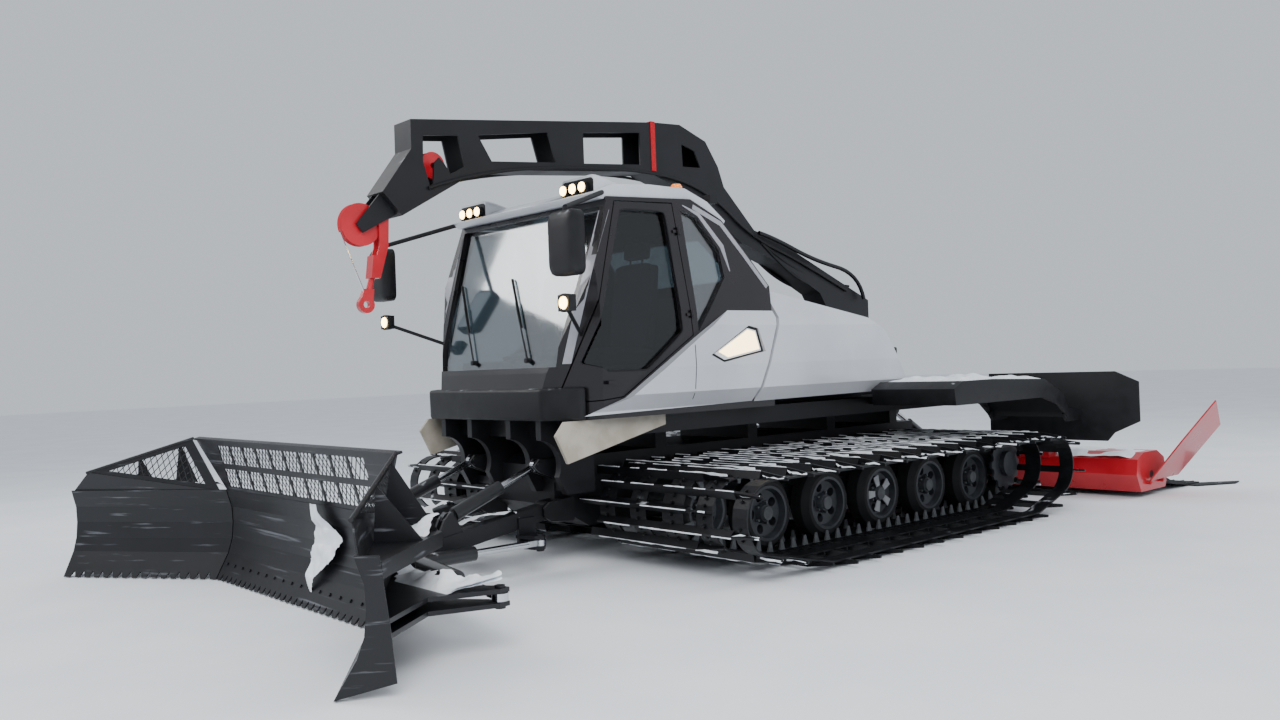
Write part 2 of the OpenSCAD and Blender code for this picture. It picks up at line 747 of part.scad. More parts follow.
module hook() {
    side = tip_half - 14 - seat;
    color("#b3202a") {
        both_sides() across(side - 12, side)
            polygon([[3480, 2590], [3560, 2570], [3560, 2380], guide_foot + [30, 0], guide_foot + [-40, 0], [3490, 2380]]);
        across(-side, side) polygon([guide_foot + [-30, 160], guide_foot + [-40, 0], guide_foot + [30, 0], guide_foot + [10, 160]]);
        strut([guide_foot.x, 0, guide_foot.y + 20], [hook_eye.x - 20, 0, hook_eye.y + 70], 22);
        difference() {
            across(-22, 22) union() {
                translate(hook_eye) circle(r = 60);
                polygon([hook_eye + [-50, 20], hook_eye + [50, 20], hook_eye + [10, 110], hook_eye + [-60, 110]]);
            }
            shaft(hook_eye.x, hook_eye.y, -30, 30, hook_bore);
        }
    }
}

module mirrors() {
    color("#1e1f22") both_sides() difference() {
        union() {
            block(2800, 2880, 1130, 1380, 2100, 2500);
            strut([2250, cab_half - 90, cab_top + 30], [2840, 1250, 2540], 18);
            strut([2840, 1250, 2544], [2840, 1250, 2480], 18);
            block(2800, 2860, 1160, 1280, 1850, 1960);
            strut([2460, 900, 1700], [2820, 1200, 1880], 14);
        }
        cab_form(seat);
        across(-roof_half - seat, roof_half + seat) polygon(outset(roof_line, seat));
    }
}
module lamps() {
    color("#fff2cc") difference() {
        for (y = [-800, -690, -580, 580, 690, 800]) translate([2290, y, cab_top + 82]) rotate([0, 90, 0])
            cylinder(h = 40, r = 45);
        across(-roof_half - seat, roof_half + seat) polygon(outset(roof_line, seat));
    }
}

// Cylinders: a barrel's eye turns on its carrier's pin, and a rod's eye keeps its
// own pin between the lugs
cyl_pin_r = 20;
eye_r = 44;
eye_half = 20;
eye_gap = 4;
lug_out = eye_half + eye_gap + lug_t;
head_t = 12;
// Pair of lug plates beside an eye, whose outline lies in X and Z
module eye_lugs(y) {
    for (k = [y - lug_out, y + eye_half + eye_gap]) across(k, k + lug_t) children();
}
module eye_pin(p, y) {
    shaft(p.x, p.y, y - lug_out, y + lug_out, cyl_pin_r);
}
module eye_heads(p, y) {
    for (k = [y - lug_out - head_t, y + lug_out]) shaft(p.x, p.y, k, k + head_t, cyl_pin_r + 8);
}
// The same three for an eye whose pin is upright
module flat_lugs(z) {
    for (k = [z - lug_out, z + eye_half + eye_gap]) translate([0, 0, k]) linear_extrude(lug_t) children();
}
module flat_pin(p, z) {
    translate([p.x, p.y, z - lug_out]) cylinder(h = 2 * lug_out, r = cyl_pin_r);
}
module flat_heads(p, z) {
    for (k = [z - lug_out - head_t, z + lug_out]) translate([p.x, p.y, k]) cylinder(h = head_t, r = cyl_pin_r + 8);
}
neck = 62;
bore_from = 80;
module barrel(len) {
    difference() {
        union() {
            shaft(0, 0, -eye_half, eye_half, eye_r);
            block(0, neck + 5, -eye_half, eye_half, -30, 30);
            translate([neck, 0, 0]) rotate([0, 90, 0]) cylinder(h = len - neck, r = barrel_r);
        }
        shaft(0, 0, -eye_half - 1, eye_half + 1, cyl_pin_r + pin_gap);
        translate([bore_from, 0, 0]) rotate([0, 90, 0]) cylinder(h = len, r = rod_r + pin_gap);
    }
}
module rod(from, len, end_neck = neck) {
    translate([from, 0, 0]) rotate([0, 90, 0]) cylinder(h = len - end_neck - from, r = rod_r);
    block(len - end_neck - 5, len, -eye_half, eye_half, -20, 20);
    shaft(len, 0, -eye_half, eye_half, eye_r);
    shaft(len, 0, -eye_half - 2, eye_half + 2, cyl_pin_r);
}
module along_line(a, b) {
    d = b - a;
    translate(a) rotate([0, -asin(d.z / norm(d)), atan2(d.y, d.x)]) children();
}

// Push frame with its lift cylinders
lift_top = [2560, 760];
lift_foot = [3330, 462];
head_x = 3670;
swing_foot = [swing_x + 140, swing_y];
swing_eye = [2700, swing_y];
swing_pin_r = 40;
module lift_lug() {
    polygon([[tub_front - 20, 640], lift_top + [0, -50], lift_top + [48, 0], lift_top + [0, 48], [tub_front - 20, 800]]);
}
module push_frame() {
    color("#1d1e21") {
        both_sides() difference() {
            union() {
                across(push_half - arm_half, push_half + arm_half) polygon([
                    [push_x + 20, push_z - 58], [head_x, swing_z - 60], [head_x, swing_z + 65], [push_x + 20, push_z + 58]
                ]);
                shaft(push_x, push_z, push_half - arm_half, push_half + arm_half, hinge_r);
            }
            shaft(push_x, push_z, push_half - arm_half - 1, push_half + arm_half + 1, push_pin_r + pin_gap);
        }
        block(head_x - 110, head_x, -push_half - arm_half, push_half + arm_half, swing_z - 65, swing_z + 70);
        block(2960, 3050, -push_half, push_half, 290, 380);
        for (z = [swing_z - 65, swing_z + 40]) {
            block(head_x - 10, swing_x, -90, 90, z, z + 25);
            translate([swing_x, 0, z]) cylinder(h = 25, r = 90);
        }
        translate([swing_x, 0, swing_z - 65]) cylinder(h = 130, r = swing_pin_r);
        both_sides() {
            eye_lugs(push_half) polygon([
                lift_foot + [-110, -120], lift_foot + [110, -135], lift_foot + [46, 0], lift_foot + [0, 46],
                lift_foot + [-46, 0]
            ]);
            eye_pin(lift_foot, push_half);
            flat_lugs(swing_z) polygon([
                [swing_eye.x - 80, push_half + arm_half - 15], [swing_eye.x + 90, push_half + arm_half - 15],
                swing_eye + [48, 0], swing_eye + [0, 48], swing_eye + [-48, 0]
            ]);
            block(swing_eye.x - 70, swing_eye.x + 80, push_half + arm_half - 15, push_half + arm_half + 15,
                swing_z - lug_out, push_z - 20);
            flat_heads(swing_eye, swing_z);
        }
    }
}
module lift_line() {
    both_sides() along_line([lift_foot.x, push_half, lift_foot.y], [lift_top.x, push_half, lift_top.y]) children();
}
lift_len = norm(lift_top - lift_foot);
module lift_barrels() {
    color("#17181a") lift_line() barrel(lift_len * 0.58);
}
module lift_rods() {
    color("#b9bcc0") lift_line() rod(lift_len * 0.34, lift_len);
}

// Swing head, on which the blade tilts
tilt_pin_r = 40;
beam_x = [swing_x + 140, swing_x + 210];
blade_beam = [beam_x[1] + 12, beam_x[1] + 82];
module swing_head() {
    color("#1d1e21") {
        difference() {
            union() {
                translate([swing_x, 0, swing_z - 33]) cylinder(h = 66, r = 88);
                block(swing_x, beam_x[0] + 10, -80, 80, swing_z - 33, swing_z + 33);
            }
            translate([swing_x, 0, swing_z - 40]) cylinder(h = 80, r = swing_pin_r + pin_gap);
        }
        block(beam_x[0], beam_x[1], -swing_y + 55, swing_y - 55, swing_z - 55, swing_z + 55);
        both_sides() {
            flat_lugs(swing_z) polygon([
                [beam_x[1], swing_y - 140], [beam_x[0] + 5, swing_y - 140], swing_foot + [-48, 0], swing_foot + [0, 48],
                [beam_x[1], swing_y + 10]
            ]);
            flat_pin(swing_foot, swing_z);
        }
        translate([beam_x[1] - 10, 0, swing_z]) rotate([0, 90, 0]) cylinder(h = blade_beam[1] + 6 - beam_x[1] + 10, r = tilt_pin_r);
        translate([blade_beam[1] + 4, 0, swing_z]) rotate([0, 90, 0]) cylinder(h = 12, r = tilt_pin_r + 18);
    }
}
swing_len = norm(swing_eye - swing_foot);
module swing_line() {
    along_line([swing_foot.x, swing_foot.y, swing_z], [swing_eye.x, swing_eye.y, swing_z]) rotate([90, 0, 0]) children();
}
module swing_barrel() {
    swing_line() barrel(swing_len * 0.56);
}
module swing_rod() {
    swing_line() rod(swing_len * 0.27, swing_len, 110);
}
module swing_barrel_left() {
    color("#17181a") swing_barrel();
}
module swing_rod_left() {
    color("#b9bcc0") swing_rod();
}
module swing_barrel_right() {
    color("#17181a") mirror([0, 1, 0]) swing_barrel();
}
module swing_rod_right() {
    color("#b9bcc0") mirror([0, 1, 0]) swing_rod();
}

// Blade: front of the plate, from the cutting edge up, as depth and height
plate_curve = [[0, 0], [-55, 90], [-110, 180], [-145, 280], [-158, 400], [-152, 520], [-125, 600], [-110, blade_plate_h]];
plate_count = len(plate_curve);
function plate_section(t) = concat(plate_curve, [for (i = [plate_count - 1 : -1 : 0]) plate_curve[i] - [t, 0]]);
// Outline of a rib, from the back of the plate to the depth d
function rib_section(d) = concat(
    [for (i = [1 : plate_count - 2]) plate_curve[i] - [blade_t - 6, 0]], [[-d * 0.85, 560], [-d, 350], [-d, 130], [-d * 0.8, 80]]
);
beam_back = blade_x - blade_beam[0];
fold_pin_r = 22;
fold_lug_r = 42;
// Depth of the fold's pin behind the cutting edge, and its way out along the mitre
fold_depth = beam_back - 43;
fold_out = fold_depth * tan(wing_fold / 2);
fold_places = [130, 420];
rib_end = 67;
module fold_lug(z, h) {
    translate([-fold_depth, fold_out, z]) cylinder(h = h, r = fold_lug_r);
    translate([0, 0, z]) linear_extrude(h) polygon([
        [-fold_depth - fold_lug_r, fold_out], [-fold_depth - fold_lug_r + 6, -rib_end],
        [-fold_depth + fold_lug_r, -rib_end], [-fold_depth + fold_lug_r, fold_out]
    ]);
}
wing_foot = [3850, 850];
wing_pin_z = 300;
screen_lean = 14.6;
screen_len = (blade_h - blade_plate_h) / cos(screen_lean);
rail_half = 1560;
// Notches along a cutting edge, from y0 to y1
module notches(y0, y1) {
    n = floor((y1 - y0) / tooth_pitch);
    for (i = [0 : n - 1]) let (y = (y0 + y1) / 2 + (i - (n - 1) / 2) * tooth_pitch) along(-80, 20)
        polygon([[y - tooth_pitch * 0.34, blade_gap - 3], [y + tooth_pitch * 0.34, blade_gap - 3], [y + 4, blade_gap + tooth_h], [y - 4, blade_gap + tooth_h]]);
}
module blade() {
    fold = [blade_x, blade_half, 0];
    color("#222326") {
        difference() {
            translate([blade_x, 0, blade_gap]) across(-blade_half - 100, blade_half + 100) polygon(plate_section(blade_t));
            both_sides() translate(fold) rotate([0, 0, -wing_fold / 2]) block(-900, 900, -fold_gap / 2, 900, -10, 900);
            translate([blade_x, 0, 0]) notches(-blade_half + 20, blade_half - 20);
        }
        difference() {
            block(blade_beam[0], blade_beam[1], -blade_half + rib_end, blade_half - rib_end, 150, 350);
            translate([blade_beam[0] - 5, 0, swing_z]) rotate([0, 90, 0]) cylinder(h = 100, r = tilt_pin_r + pin_gap);
        }
        both_sides() {
            for (y = [250, 700, blade_half - rib_end]) translate([blade_x, 0, blade_gap])
                across(y - 7, y + 7) polygon(rib_section(beam_back));
            translate(fold) for (z = fold_places) {
                fold_lug(z, 25);
                fold_lug(z + 95, 25);
                translate([-fold_depth, fold_out, z]) cylinder(h = 120, r = fold_pin_r);
            }
            flat_lugs(wing_pin_z) polygon([
                [blade_beam[0] + 10, wing_foot.y - 90], [blade_beam[0] + 10, wing_foot.y + 30], wing_foot + [50, 30],
                wing_foot + [0, 48], wing_foot + [-48, 0], wing_foot + [0, -48], wing_foot + [70, -60]
            ]);
            flat_pin(wing_foot, wing_pin_z);
        }
        translate([blade_x + plate_curve[plate_count - 1].x - blade_t / 2, 0, blade_gap + blade_plate_h]) rotate([0, screen_lean, 0]) {
            difference() {
                along(-4, 4) polygon([
                    [-blade_half - 25, -12], [blade_half + 25, -12], [rail_half, screen_len], [-rail_half, screen_len]
                ]);
                for (k = [-5 : 4], row = [0, 1]) block(-10, 10, k * 230 + 12, k * 230 + 218, 30 + row * 180, 170 + row * 180);
            }
            block(-30, 14, -rail_half, rail_half, screen_len - 14, screen_len);
        }
    }
}

// Wing, in a frame whose Y runs along its cutting edge from the fold
wing_eye = [-760, 720];
shelf_z = 610;
shelf_t = 12;
module wing_place() {
    translate([blade_x, blade_half, 0]) rotate([0, 0, -wing_fold]) children();
}
screen_points = [[-118, 30, 650], [-128, wing_len - 10, 650], [-84, 1165, 800], [-216, 330, blade_h]];
// Flat plate with its corners at three points, and an open middle of that share
module slab(a, b, c, hole = 0) {
    n = unit(cross(b - a, c - a));
    t = acos(n.z);
    f = atan2(n.y, n.x);
    corners = [
        for (p = [a, b, c]) let (v = p - a, x = v.x * cos(f) + v.y * sin(f))
            [x * cos(t) - v.z * sin(t), v.y * cos(f) - v.x * sin(f)]
    ];
    middle = (corners[0] + corners[1] + corners[2]) / 3;
    translate(a) rotate([0, t, f]) linear_extrude(8, center = true) difference() {
        polygon(corners);
        if (hole > 0) polygon([for (p = corners) middle + (p - middle) * hole]);
    }
}
module wing() {
    back_edge = [[-250, 74], [-465, 500], [-235, wing_len - 14]];
    front_edge = [[-132, wing_len - 14], [-132, 74]];
    wing_place() {
        difference() {
            translate([0, 0, blade_gap]) across(-100, wing_len) polygon(plate_section(blade_t));
            rotate([0, 0, wing_fold / 2]) block(-900, 900, -900, fold_gap / 2, -10, 900);
            notches(20, wing_len - 20);
        }
        translate([0, 0, blade_gap]) {
            across(rib_end - 7, rib_end + 7) polygon(rib_section(fold_depth + fold_lug_r));
            across(wing_len - 14, wing_len) polygon(concat(plate_curve, [[-225, blade_plate_h - 5], [-262, 330], [-285, 60]]));
        }
        translate([0, 0, shelf_z]) linear_extrude(shelf_t) polygon(concat(back_edge, front_edge));
        translate([0, 0, shelf_z - 70]) linear_extrude(75) polygon(concat(back_edge, [for (k = [2, 1, 0]) back_edge[k] + [12, 0]]));
        for (k = [[wing_pin_z - lug_out, -146], [wing_pin_z + eye_half + eye_gap, -156]]) translate([0, 0, k[0]])
            linear_extrude(lug_t) polygon([
                back_edge[0], back_edge[1], [-440, 560], wing_eye + [0, -50], wing_eye + [-50, 0], wing_eye + [0, 50],
                [-400, 860], back_edge[2], [k[1], wing_len - 14], [k[1], 74]
            ]);
        flat_heads(wing_eye, wing_pin_z);
        mirror([0, 1, 0]) for (z = fold_places) difference() {
            fold_lug(z + 30, 60);
            translate([-fold_depth, fold_out, z]) cylinder(h = 120, r = fold_pin_r + pin_gap);
        }
        for (u = [430, 760]) across(u - 6, u + 6)
            polygon([[-134, shelf_z + 6], [u < 600 ? -205 : -155, u < 600 ? 1000 : 915], [u < 600 ? -440 : -385, shelf_z + 6]]);
        slab(screen_points[0], screen_points[1], screen_points[2]);
        slab(screen_points[0], screen_points[2], screen_points[3], 0.74);
        rail = unit(screen_points[2] - screen_points[3]);
        strut(screen_points[3] - 12 * rail, screen_points[2] + 16 * rail, 12);
    }
}
module wing_left() {
    color("#222326") wing();
}
module wing_right() {
    color("#222326") mirror([0, 1, 0]) wing();
}
// The wing's eye in the machine's frame
wing_eye_at = [
    blade_x + wing_eye.x * cos(wing_fold) + wing_eye.y * sin(wing_fold),
    blade_half - wing_eye.x * sin(wing_fold) + wing_eye.y * cos(wing_fold)
];
wing_cyl = norm(wing_eye_at - wing_foot);
module wing_line() {
    along_line([wing_foot.x, wing_foot.y, wing_pin_z], [wing_eye_at.x, wing_eye_at.y, wing_pin_z])
        rotate([90, 0, 0]) children();
}
module wing_barrel() {
    wing_line() barrel(wing_cyl * 0.56);
}
module wing_rod() {
    wing_line() rod(wing_cyl * 0.27, wing_cyl, 130);
}
module wing_barrel_left() {
    color("#17181a") wing_barrel();
}
module wing_rod_left() {
    color("#b9bcc0") wing_rod();
}
module wing_barrel_right() {
    color("#17181a") mirror([0, 1, 0]) wing_barrel();
}
module wing_rod_right() {
    color("#b9bcc0") mirror([0, 1, 0]) wing_rod();
}

// Tiller
tiller_arm_y = 360;
t_lift_y = 150;
t_top = [-2300, 900];
t_foot = [-2900, 560];
module t_lug() {
    polygon([[-3190, 440], [-2950, 440], t_foot + [44, 0], t_foot + [0, 44], [-3190, 550]]);
}
module tiller_frame() {
    color("#1d1e21") {
        both_sides() difference() {
            union() {
                across(tiller_arm_y - arm_half, tiller_arm_y + arm_half) polygon([
                    [tiller_x, tiller_z - 60], [tiller_x, tiller_z + 60], [-3200, 560], [-3200, 440]
                ]);
                shaft(tiller_x, tiller_z, tiller_arm_y - arm_half, tiller_arm_y + arm_half, hinge_r);
            }
            shaft(tiller_x, tiller_z, tiller_arm_y - arm_half - 1, tiller_arm_y + arm_half + 1, push_pin_r + pin_gap);
        }
        block(-3300, -3180, -1500, 1500, 430, 560);
        both_sides() eye_lugs(t_lift_y) t_lug();
        both_sides() eye_pin(t_foot, t_lift_y);
        block(-3010, -2950, -tiller_arm_y, tiller_arm_y, 440, 520);
    }
}
module t_line() {
    both_sides() along_line([t_foot.x, t_lift_y, t_foot.y], [t_top.x, t_lift_y, t_top.y]) children();
}
t_len = norm(t_top - t_foot);
module tiller_barrels() {
    color("#17181a") t_line() barrel(t_len * 0.56);
}
module tiller_rods() {
    color("#b9bcc0") t_line() rod(t_len * 0.39, t_len);
}
hood_t = 27;
hood_top = shaft_z + tine_r + hood_t + 8;
hood_line = [[-3320, 60], [-3230, 230], [-3260, 380], [-3400, hood_top], [-3700, hood_top], [-3860, 360], [-3900, 120]];
side_y = tiller_half + 22;
side_z = 140;
side_lugs = [-3480, -3760];
side_pin_r = 12;
module tiller_hood() {
    color("#b01f2b") {
        difference() {
            across(-tiller_half, tiller_half) polygon(hood_line);
            across(-tiller_half - 1, tiller_half + 1) polygon([
                [-3900, 50], [-3345, 50], [-3262, 230], [-3288, 360], [-3410, hood_top - hood_t], [-3690, hood_top - hood_t], [-3830, 335], [-3866, 115]
            ]);
        }
        both_sides() {
            difference() {
                across(tiller_half - 16, tiller_half) polygon(concat(hood_line, [[-3866, 60]]));
                shaft(shaft_x, shaft_z, tiller_half - 20, tiller_half + 10, 40 + pin_gap);
            }
            for (x = side_lugs) for (k = [-30, 18]) block(x + k, x + k + 12, tiller_half - 8, side_y + 16, side_z - 16, side_z + 16);
            for (x = side_lugs) translate([x - 30, side_y, side_z]) rotate([0, 90, 0]) cylinder(h = 60, r = side_pin_r);
            block(-3330, -3190, 700, 1400, 370, 430 - seat);
        }
    }
}
front_tip = blade_x + wing_len * sin(wing_fold); // the front end of the machine
module finisher() {
    color("#151617") {
        across(-tiller_half + 20, tiller_half - 20) polygon([
            [-3900 - seat, 120], [-4110, 60], [-4500, 10], [-4760, 10], [-4760, 20], [-4510, 24], [-4120, 82],
            [-3925, 150], [-3887 - seat, 200]
        ]);
        both_sides() linear_extrude(12) polygon([
            [-4500, tiller_half - 60], [-4700, tiller_half - 60], [-front_tip, tiller_half + 260], [-4900, tiller_half + 290],
            [-4500, tiller_half + 60]
        ]);
    }
}
tine_pitch = 120;
module tiller_shaft() {
    color("#3b3d40") {
        shaft(shaft_x, shaft_z, -tiller_half + 30, tiller_half - 30, shaft_r);
        both_sides() shaft(shaft_x, shaft_z, tiller_half - 31, tiller_half - 1, 40);
        both_sides() for (y = [tine_pitch / 2 : tine_pitch : tiller_half - 110]) let (i = (y - tine_pitch / 2) / tine_pitch)
            translate([shaft_x, y, shaft_z]) rotate([0, i * 40, 0]) for (a = [0, 120, 240]) rotate([0, a, 0])
                block(shaft_r - 20, tine_r, -12, 12, -20, 20);
    }
}
side_raise = 57; // angle of a side flap, which the photo shows folded up
module tiller_side() {
    translate([0, side_y, side_z]) rotate([side_raise, 0, 0]) {
        difference() {
            union() {
                translate([0, 0, -7]) linear_extrude(14)
                    polygon([[-3440, 30], [-4080, 30], [-4350, 620], [-3800, side_len], [-3600, 480]]);
                for (x = side_lugs) translate([x - 16, 0, 0]) rotate([0, 90, 0]) cylinder(h = 32, r = 20);
                for (x = side_lugs) block(x - 16, x + 16, 0, 40, -7, 7);
            }
            for (x = side_lugs) translate([x - 40, 0, 0]) rotate([0, 90, 0]) cylinder(h = 80, r = side_pin_r + pin_gap);
        }
    }
}
module tiller_side_left() {
    color("#b01f2b") tiller_side();
}
module tiller_side_right() {
    color("#b01f2b") mirror([0, 1, 0]) tiller_side();
}

chassis();
engine();
track_left();
track_right();
tyres();
wheels();
cab_frame();
cab_roof();
cab_nose();
cab_glass();
door_left();
door_right();
door_glass_left();
door_glass_right();
seats();
side_panels();
engine_cover_left();
engine_cover_right();
engine_deck();
skirts();
fenders();
boom();
winch();
hook();
tip_sheave();
inner_sheave();
mirrors();
lamps();
push_frame();
swing_head();
blade();
wing_left();
wing_right();
lift_barrels();
lift_rods();
swing_barrel_left();
swing_rod_left();
swing_barrel_right();
swing_rod_right();
wing_barrel_left();
wing_rod_left();
wing_barrel_right();
wing_rod_right();
tiller_frame();
tiller_hood();
finisher();
tiller_shaft();
tiller_side_left();
tiller_side_right();
tiller_barrels();
tiller_rods();
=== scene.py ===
import math
import random

import bmesh
import bpy
from mathutils import Matrix, Vector, noise
from mathutils.bvhtree import BVHTree


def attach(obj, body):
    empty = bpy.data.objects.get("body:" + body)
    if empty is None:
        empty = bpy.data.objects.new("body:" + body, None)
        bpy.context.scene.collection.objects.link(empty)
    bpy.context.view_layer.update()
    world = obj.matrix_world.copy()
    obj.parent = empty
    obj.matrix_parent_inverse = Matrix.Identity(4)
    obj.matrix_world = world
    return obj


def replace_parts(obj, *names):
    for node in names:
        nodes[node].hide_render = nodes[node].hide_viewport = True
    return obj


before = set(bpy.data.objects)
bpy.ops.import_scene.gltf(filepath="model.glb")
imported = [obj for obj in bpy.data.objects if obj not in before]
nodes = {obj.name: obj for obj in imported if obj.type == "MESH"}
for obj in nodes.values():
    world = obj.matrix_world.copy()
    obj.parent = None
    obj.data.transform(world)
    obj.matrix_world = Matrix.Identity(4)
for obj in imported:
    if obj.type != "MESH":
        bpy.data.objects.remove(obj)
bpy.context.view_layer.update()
random.seed(7)

# Camera, solved from the machine's own lines in the photograph
view = {
    "place": (7.25, 6.90, 1.474),
    "yaw": -131.65,
    "pitch": 0.26,
    "roll": -2.11,
    "lens": 30.34,  # on a 36 mm wide sensor
}


def placeCamera():
    yaw, pitch, roll = (math.radians(view[k]) for k in ("yaw", "pitch", "roll"))
    ahead = Vector((math.cos(yaw) * math.cos(pitch), math.sin(yaw) * math.cos(pitch), math.sin(pitch)))
    level = Vector((math.sin(yaw), -math.cos(yaw), 0))
    above = level.cross(ahead)
    right = level * math.cos(roll) + above * math.sin(roll)
    top = above * math.cos(roll) - level * math.sin(roll)
    data = bpy.data.cameras.new("viewCamera")
    data.lens = view["lens"]
    data.sensor_width = 36
    data.clip_end = 200
    camera = bpy.data.objects.new("viewCamera", data)
    camera.matrix_world = Matrix((right, top, -ahead)).transposed().to_4x4()
    camera.location = view["place"]
    bpy.context.scene.collection.objects.link(camera)
    bpy.context.scene.camera = camera


placeCamera()
print("camera placed")


# Materials: one function turns a colour from sRGB to linear, one adds a node
def linear(text, alpha=1.0):
    parts = [int(text[i : i + 2], 16) / 255 for i in (1, 3, 5)]
    return tuple(c / 12.92 if c < 0.04045 else ((c + 0.055) / 1.055) ** 2.4 for c in parts) + (alpha,)


def addNode(tree, kind, settings=None, links=None, **own):
    node = tree.nodes.new(kind)
    for key, value in own.items():
        setattr(node, key, value)
    for key, value in (settings or {}).items():
        node.inputs[key].default_value = value
    for key, source in (links or {}).items():
        tree.links.new(source, node.inputs[key])
    return node


def blendOf(tree, factor, low, high):
    mix = addNode(tree, "ShaderNodeMix", data_type="RGBA")
    tree.links.new(factor, mix.inputs[0])
    for socket, value in ((mix.inputs[6], low), (mix.inputs[7], high)):
        if isinstance(value, tuple):
            socket.default_value = value
        else:
            tree.links.new(value, socket)
    return mix.outputs[2]


def addNoise(tree, place, scale, detail, roughness=0.5):
    settings = {"Scale": scale, "Detail": detail, "Roughness": roughness}
    return addNode(tree, "ShaderNodeTexNoise", settings, {"Vector": place}).outputs["Fac"]


def band(tree, value, low, high):  # 0 below low, 1 above high
    ends = {"From Min": low, "From Max": high}
    node = addNode(tree, "ShaderNodeMapRange", ends, {"Value": value}, interpolation_type="SMOOTHSTEP")
    return node.outputs["Result"]


def startMaterial(name):
    made = bpy.data.materials.new(name)
    made.use_nodes = True
    tree = made.node_tree
    tree.nodes.clear()
    return made, tree, addNode(tree, "ShaderNodeTexCoord").outputs["Object"]


def surface(name, color, shade, rough, grain, **more):  # grain: size of the patches in millimetres
    own = {"metal": 0.0, "ior": 1.5, "coat": 0.0, "peel": 0.0, "peelGrain": 3.0, "frost": 0.0, "smear": 0.0}
    own["roughTo"] = rough + 0.12
    own.update(more)
    made, tree, place = startMaterial(name)
    patch = addNoise(tree, place, 1000 / grain, 5.0)
    tone = blendOf(tree, band(tree, patch, 0.35, 0.65), linear(color), linear(shade))
    spread = {"From Min": 0.3, "From Max": 0.7, "To Min": rough, "To Max": own["roughTo"]}
    rub = addNode(tree, "ShaderNodeMapRange", spread, {"Value": patch}).outputs["Result"]
    if own["frost"]:  # rime and blown snow, on faces that look up
        normal = addNode(tree, "ShaderNodeNewGeometry").outputs["Normal"]
        upward = addNode(tree, "ShaderNodeSeparateXYZ", None, {0: normal}).outputs["Z"]
        drift = addNoise(tree, place, 3.2, 7.0, 0.58)
        edge = 0.68 - own["frost"] * 0.3
        both = {0: band(tree, upward, 0.35, 0.8), 1: band(tree, drift, edge, edge + 0.09)}
        white = addNode(tree, "ShaderNodeMath", None, both, operation="MULTIPLY").outputs[0]
        tone = blendOf(tree, white, tone, linear("#e9eef4"))
        rub = addNode(tree, "ShaderNodeMath", None, {0: rub, 1: white}, operation="MAXIMUM").outputs[0]
    if own["smear"]:  # painted sheen: light grey level streaks along the plate, standing in for reflections
        long = addNode(tree, "ShaderNodeVectorMath", {1: (3.0, 0.9, 26.0)}, {0: place}, operation="MULTIPLY").outputs[0]
        sheenBand = band(tree, addNoise(tree, long, 1.4, 8.0), 0.6, 0.76)
        sheenShare = addNode(tree, "ShaderNodeMath", {1: own["smear"]}, {0: sheenBand}, operation="MULTIPLY").outputs[0]
        # painted sheen: the light grey streak colour is mixed into the base colour
        tone = blendOf(tree, sheenShare, tone, linear("#b9bec8"))
    shader = addNode(
        tree,
        "ShaderNodeBsdfPrincipled",
        {"Metallic": own["metal"], "IOR": own["ior"], "Coat Weight": own["coat"], "Coat Roughness": 0.08},
        {"Base Color": tone, "Roughness": rub},
    )
    if own["peel"]:  # fine relief of the paint, grain or cast skin
        relief = addNoise(tree, place, 1000 / own["peelGrain"], 3.0)
        bump = addNode(tree, "ShaderNodeBump", {"Strength": own["peel"], "Distance": 0.001}, {"Height": relief})
        tree.links.new(bump.outputs["Normal"], shader.inputs["Normal"])
    addNode(tree, "ShaderNodeOutputMaterial", None, {"Surface": shader.outputs["BSDF"]})
    return made


def windowGlass(name, tint, mirror):  # toughened float glass: a little tint, and the sky on its face
    made, tree, place = startMaterial(name)
    film = addNoise(tree, place, 6.0, 6.0)
    haze = addNode(tree, "ShaderNodeMapRange", {"To Min": 0.02, "To Max": 0.09}, {"Value": film}).outputs["Result"]
    clear = addNode(tree, "ShaderNodeBsdfTransparent", {"Color": linear(tint)})
    shine = addNode(tree, "ShaderNodeBsdfGlossy", {"Color": linear("#ffffff")}, {"Roughness": haze})
    facing = addNode(tree, "ShaderNodeLayerWeight", {"Blend": 0.5}).outputs["Facing"]
    edge = addNode(tree, "ShaderNodeMath", {1: 5.0}, {0: facing}, operation="POWER").outputs[0]
    share = addNode(tree, "ShaderNodeMath", {1: 0.9, 2: 0.04 + mirror}, {0: edge}, operation="MULTIPLY_ADD").outputs[0]
    mix = addNode(tree, "ShaderNodeMixShader", None, {0: share, 1: clear.outputs[0], 2: shine.outputs[0]})
    addNode(tree, "ShaderNodeOutputMaterial", None, {"Surface": mix.outputs[0]})
    return made


def lampGlow(name, color, power):  # a lit lens: warm light behind pressed glass
    made, tree, place = startMaterial(name)
    flute = addNoise(tree, place, 60.0, 2.0)
    tone = blendOf(tree, band(tree, flute, 0.5, 0.9), linear(color), linear("#fff6dc"))
    shader = addNode(
        tree,
        "ShaderNodeBsdfPrincipled",
        {"Roughness": 0.15, "IOR": 1.5, "Emission Strength": power},
        {"Base Color": tone, "Emission Color": tone},
    )
    addNode(tree, "ShaderNodeOutputMaterial", None, {"Surface": shader.outputs["BSDF"]})
    return made


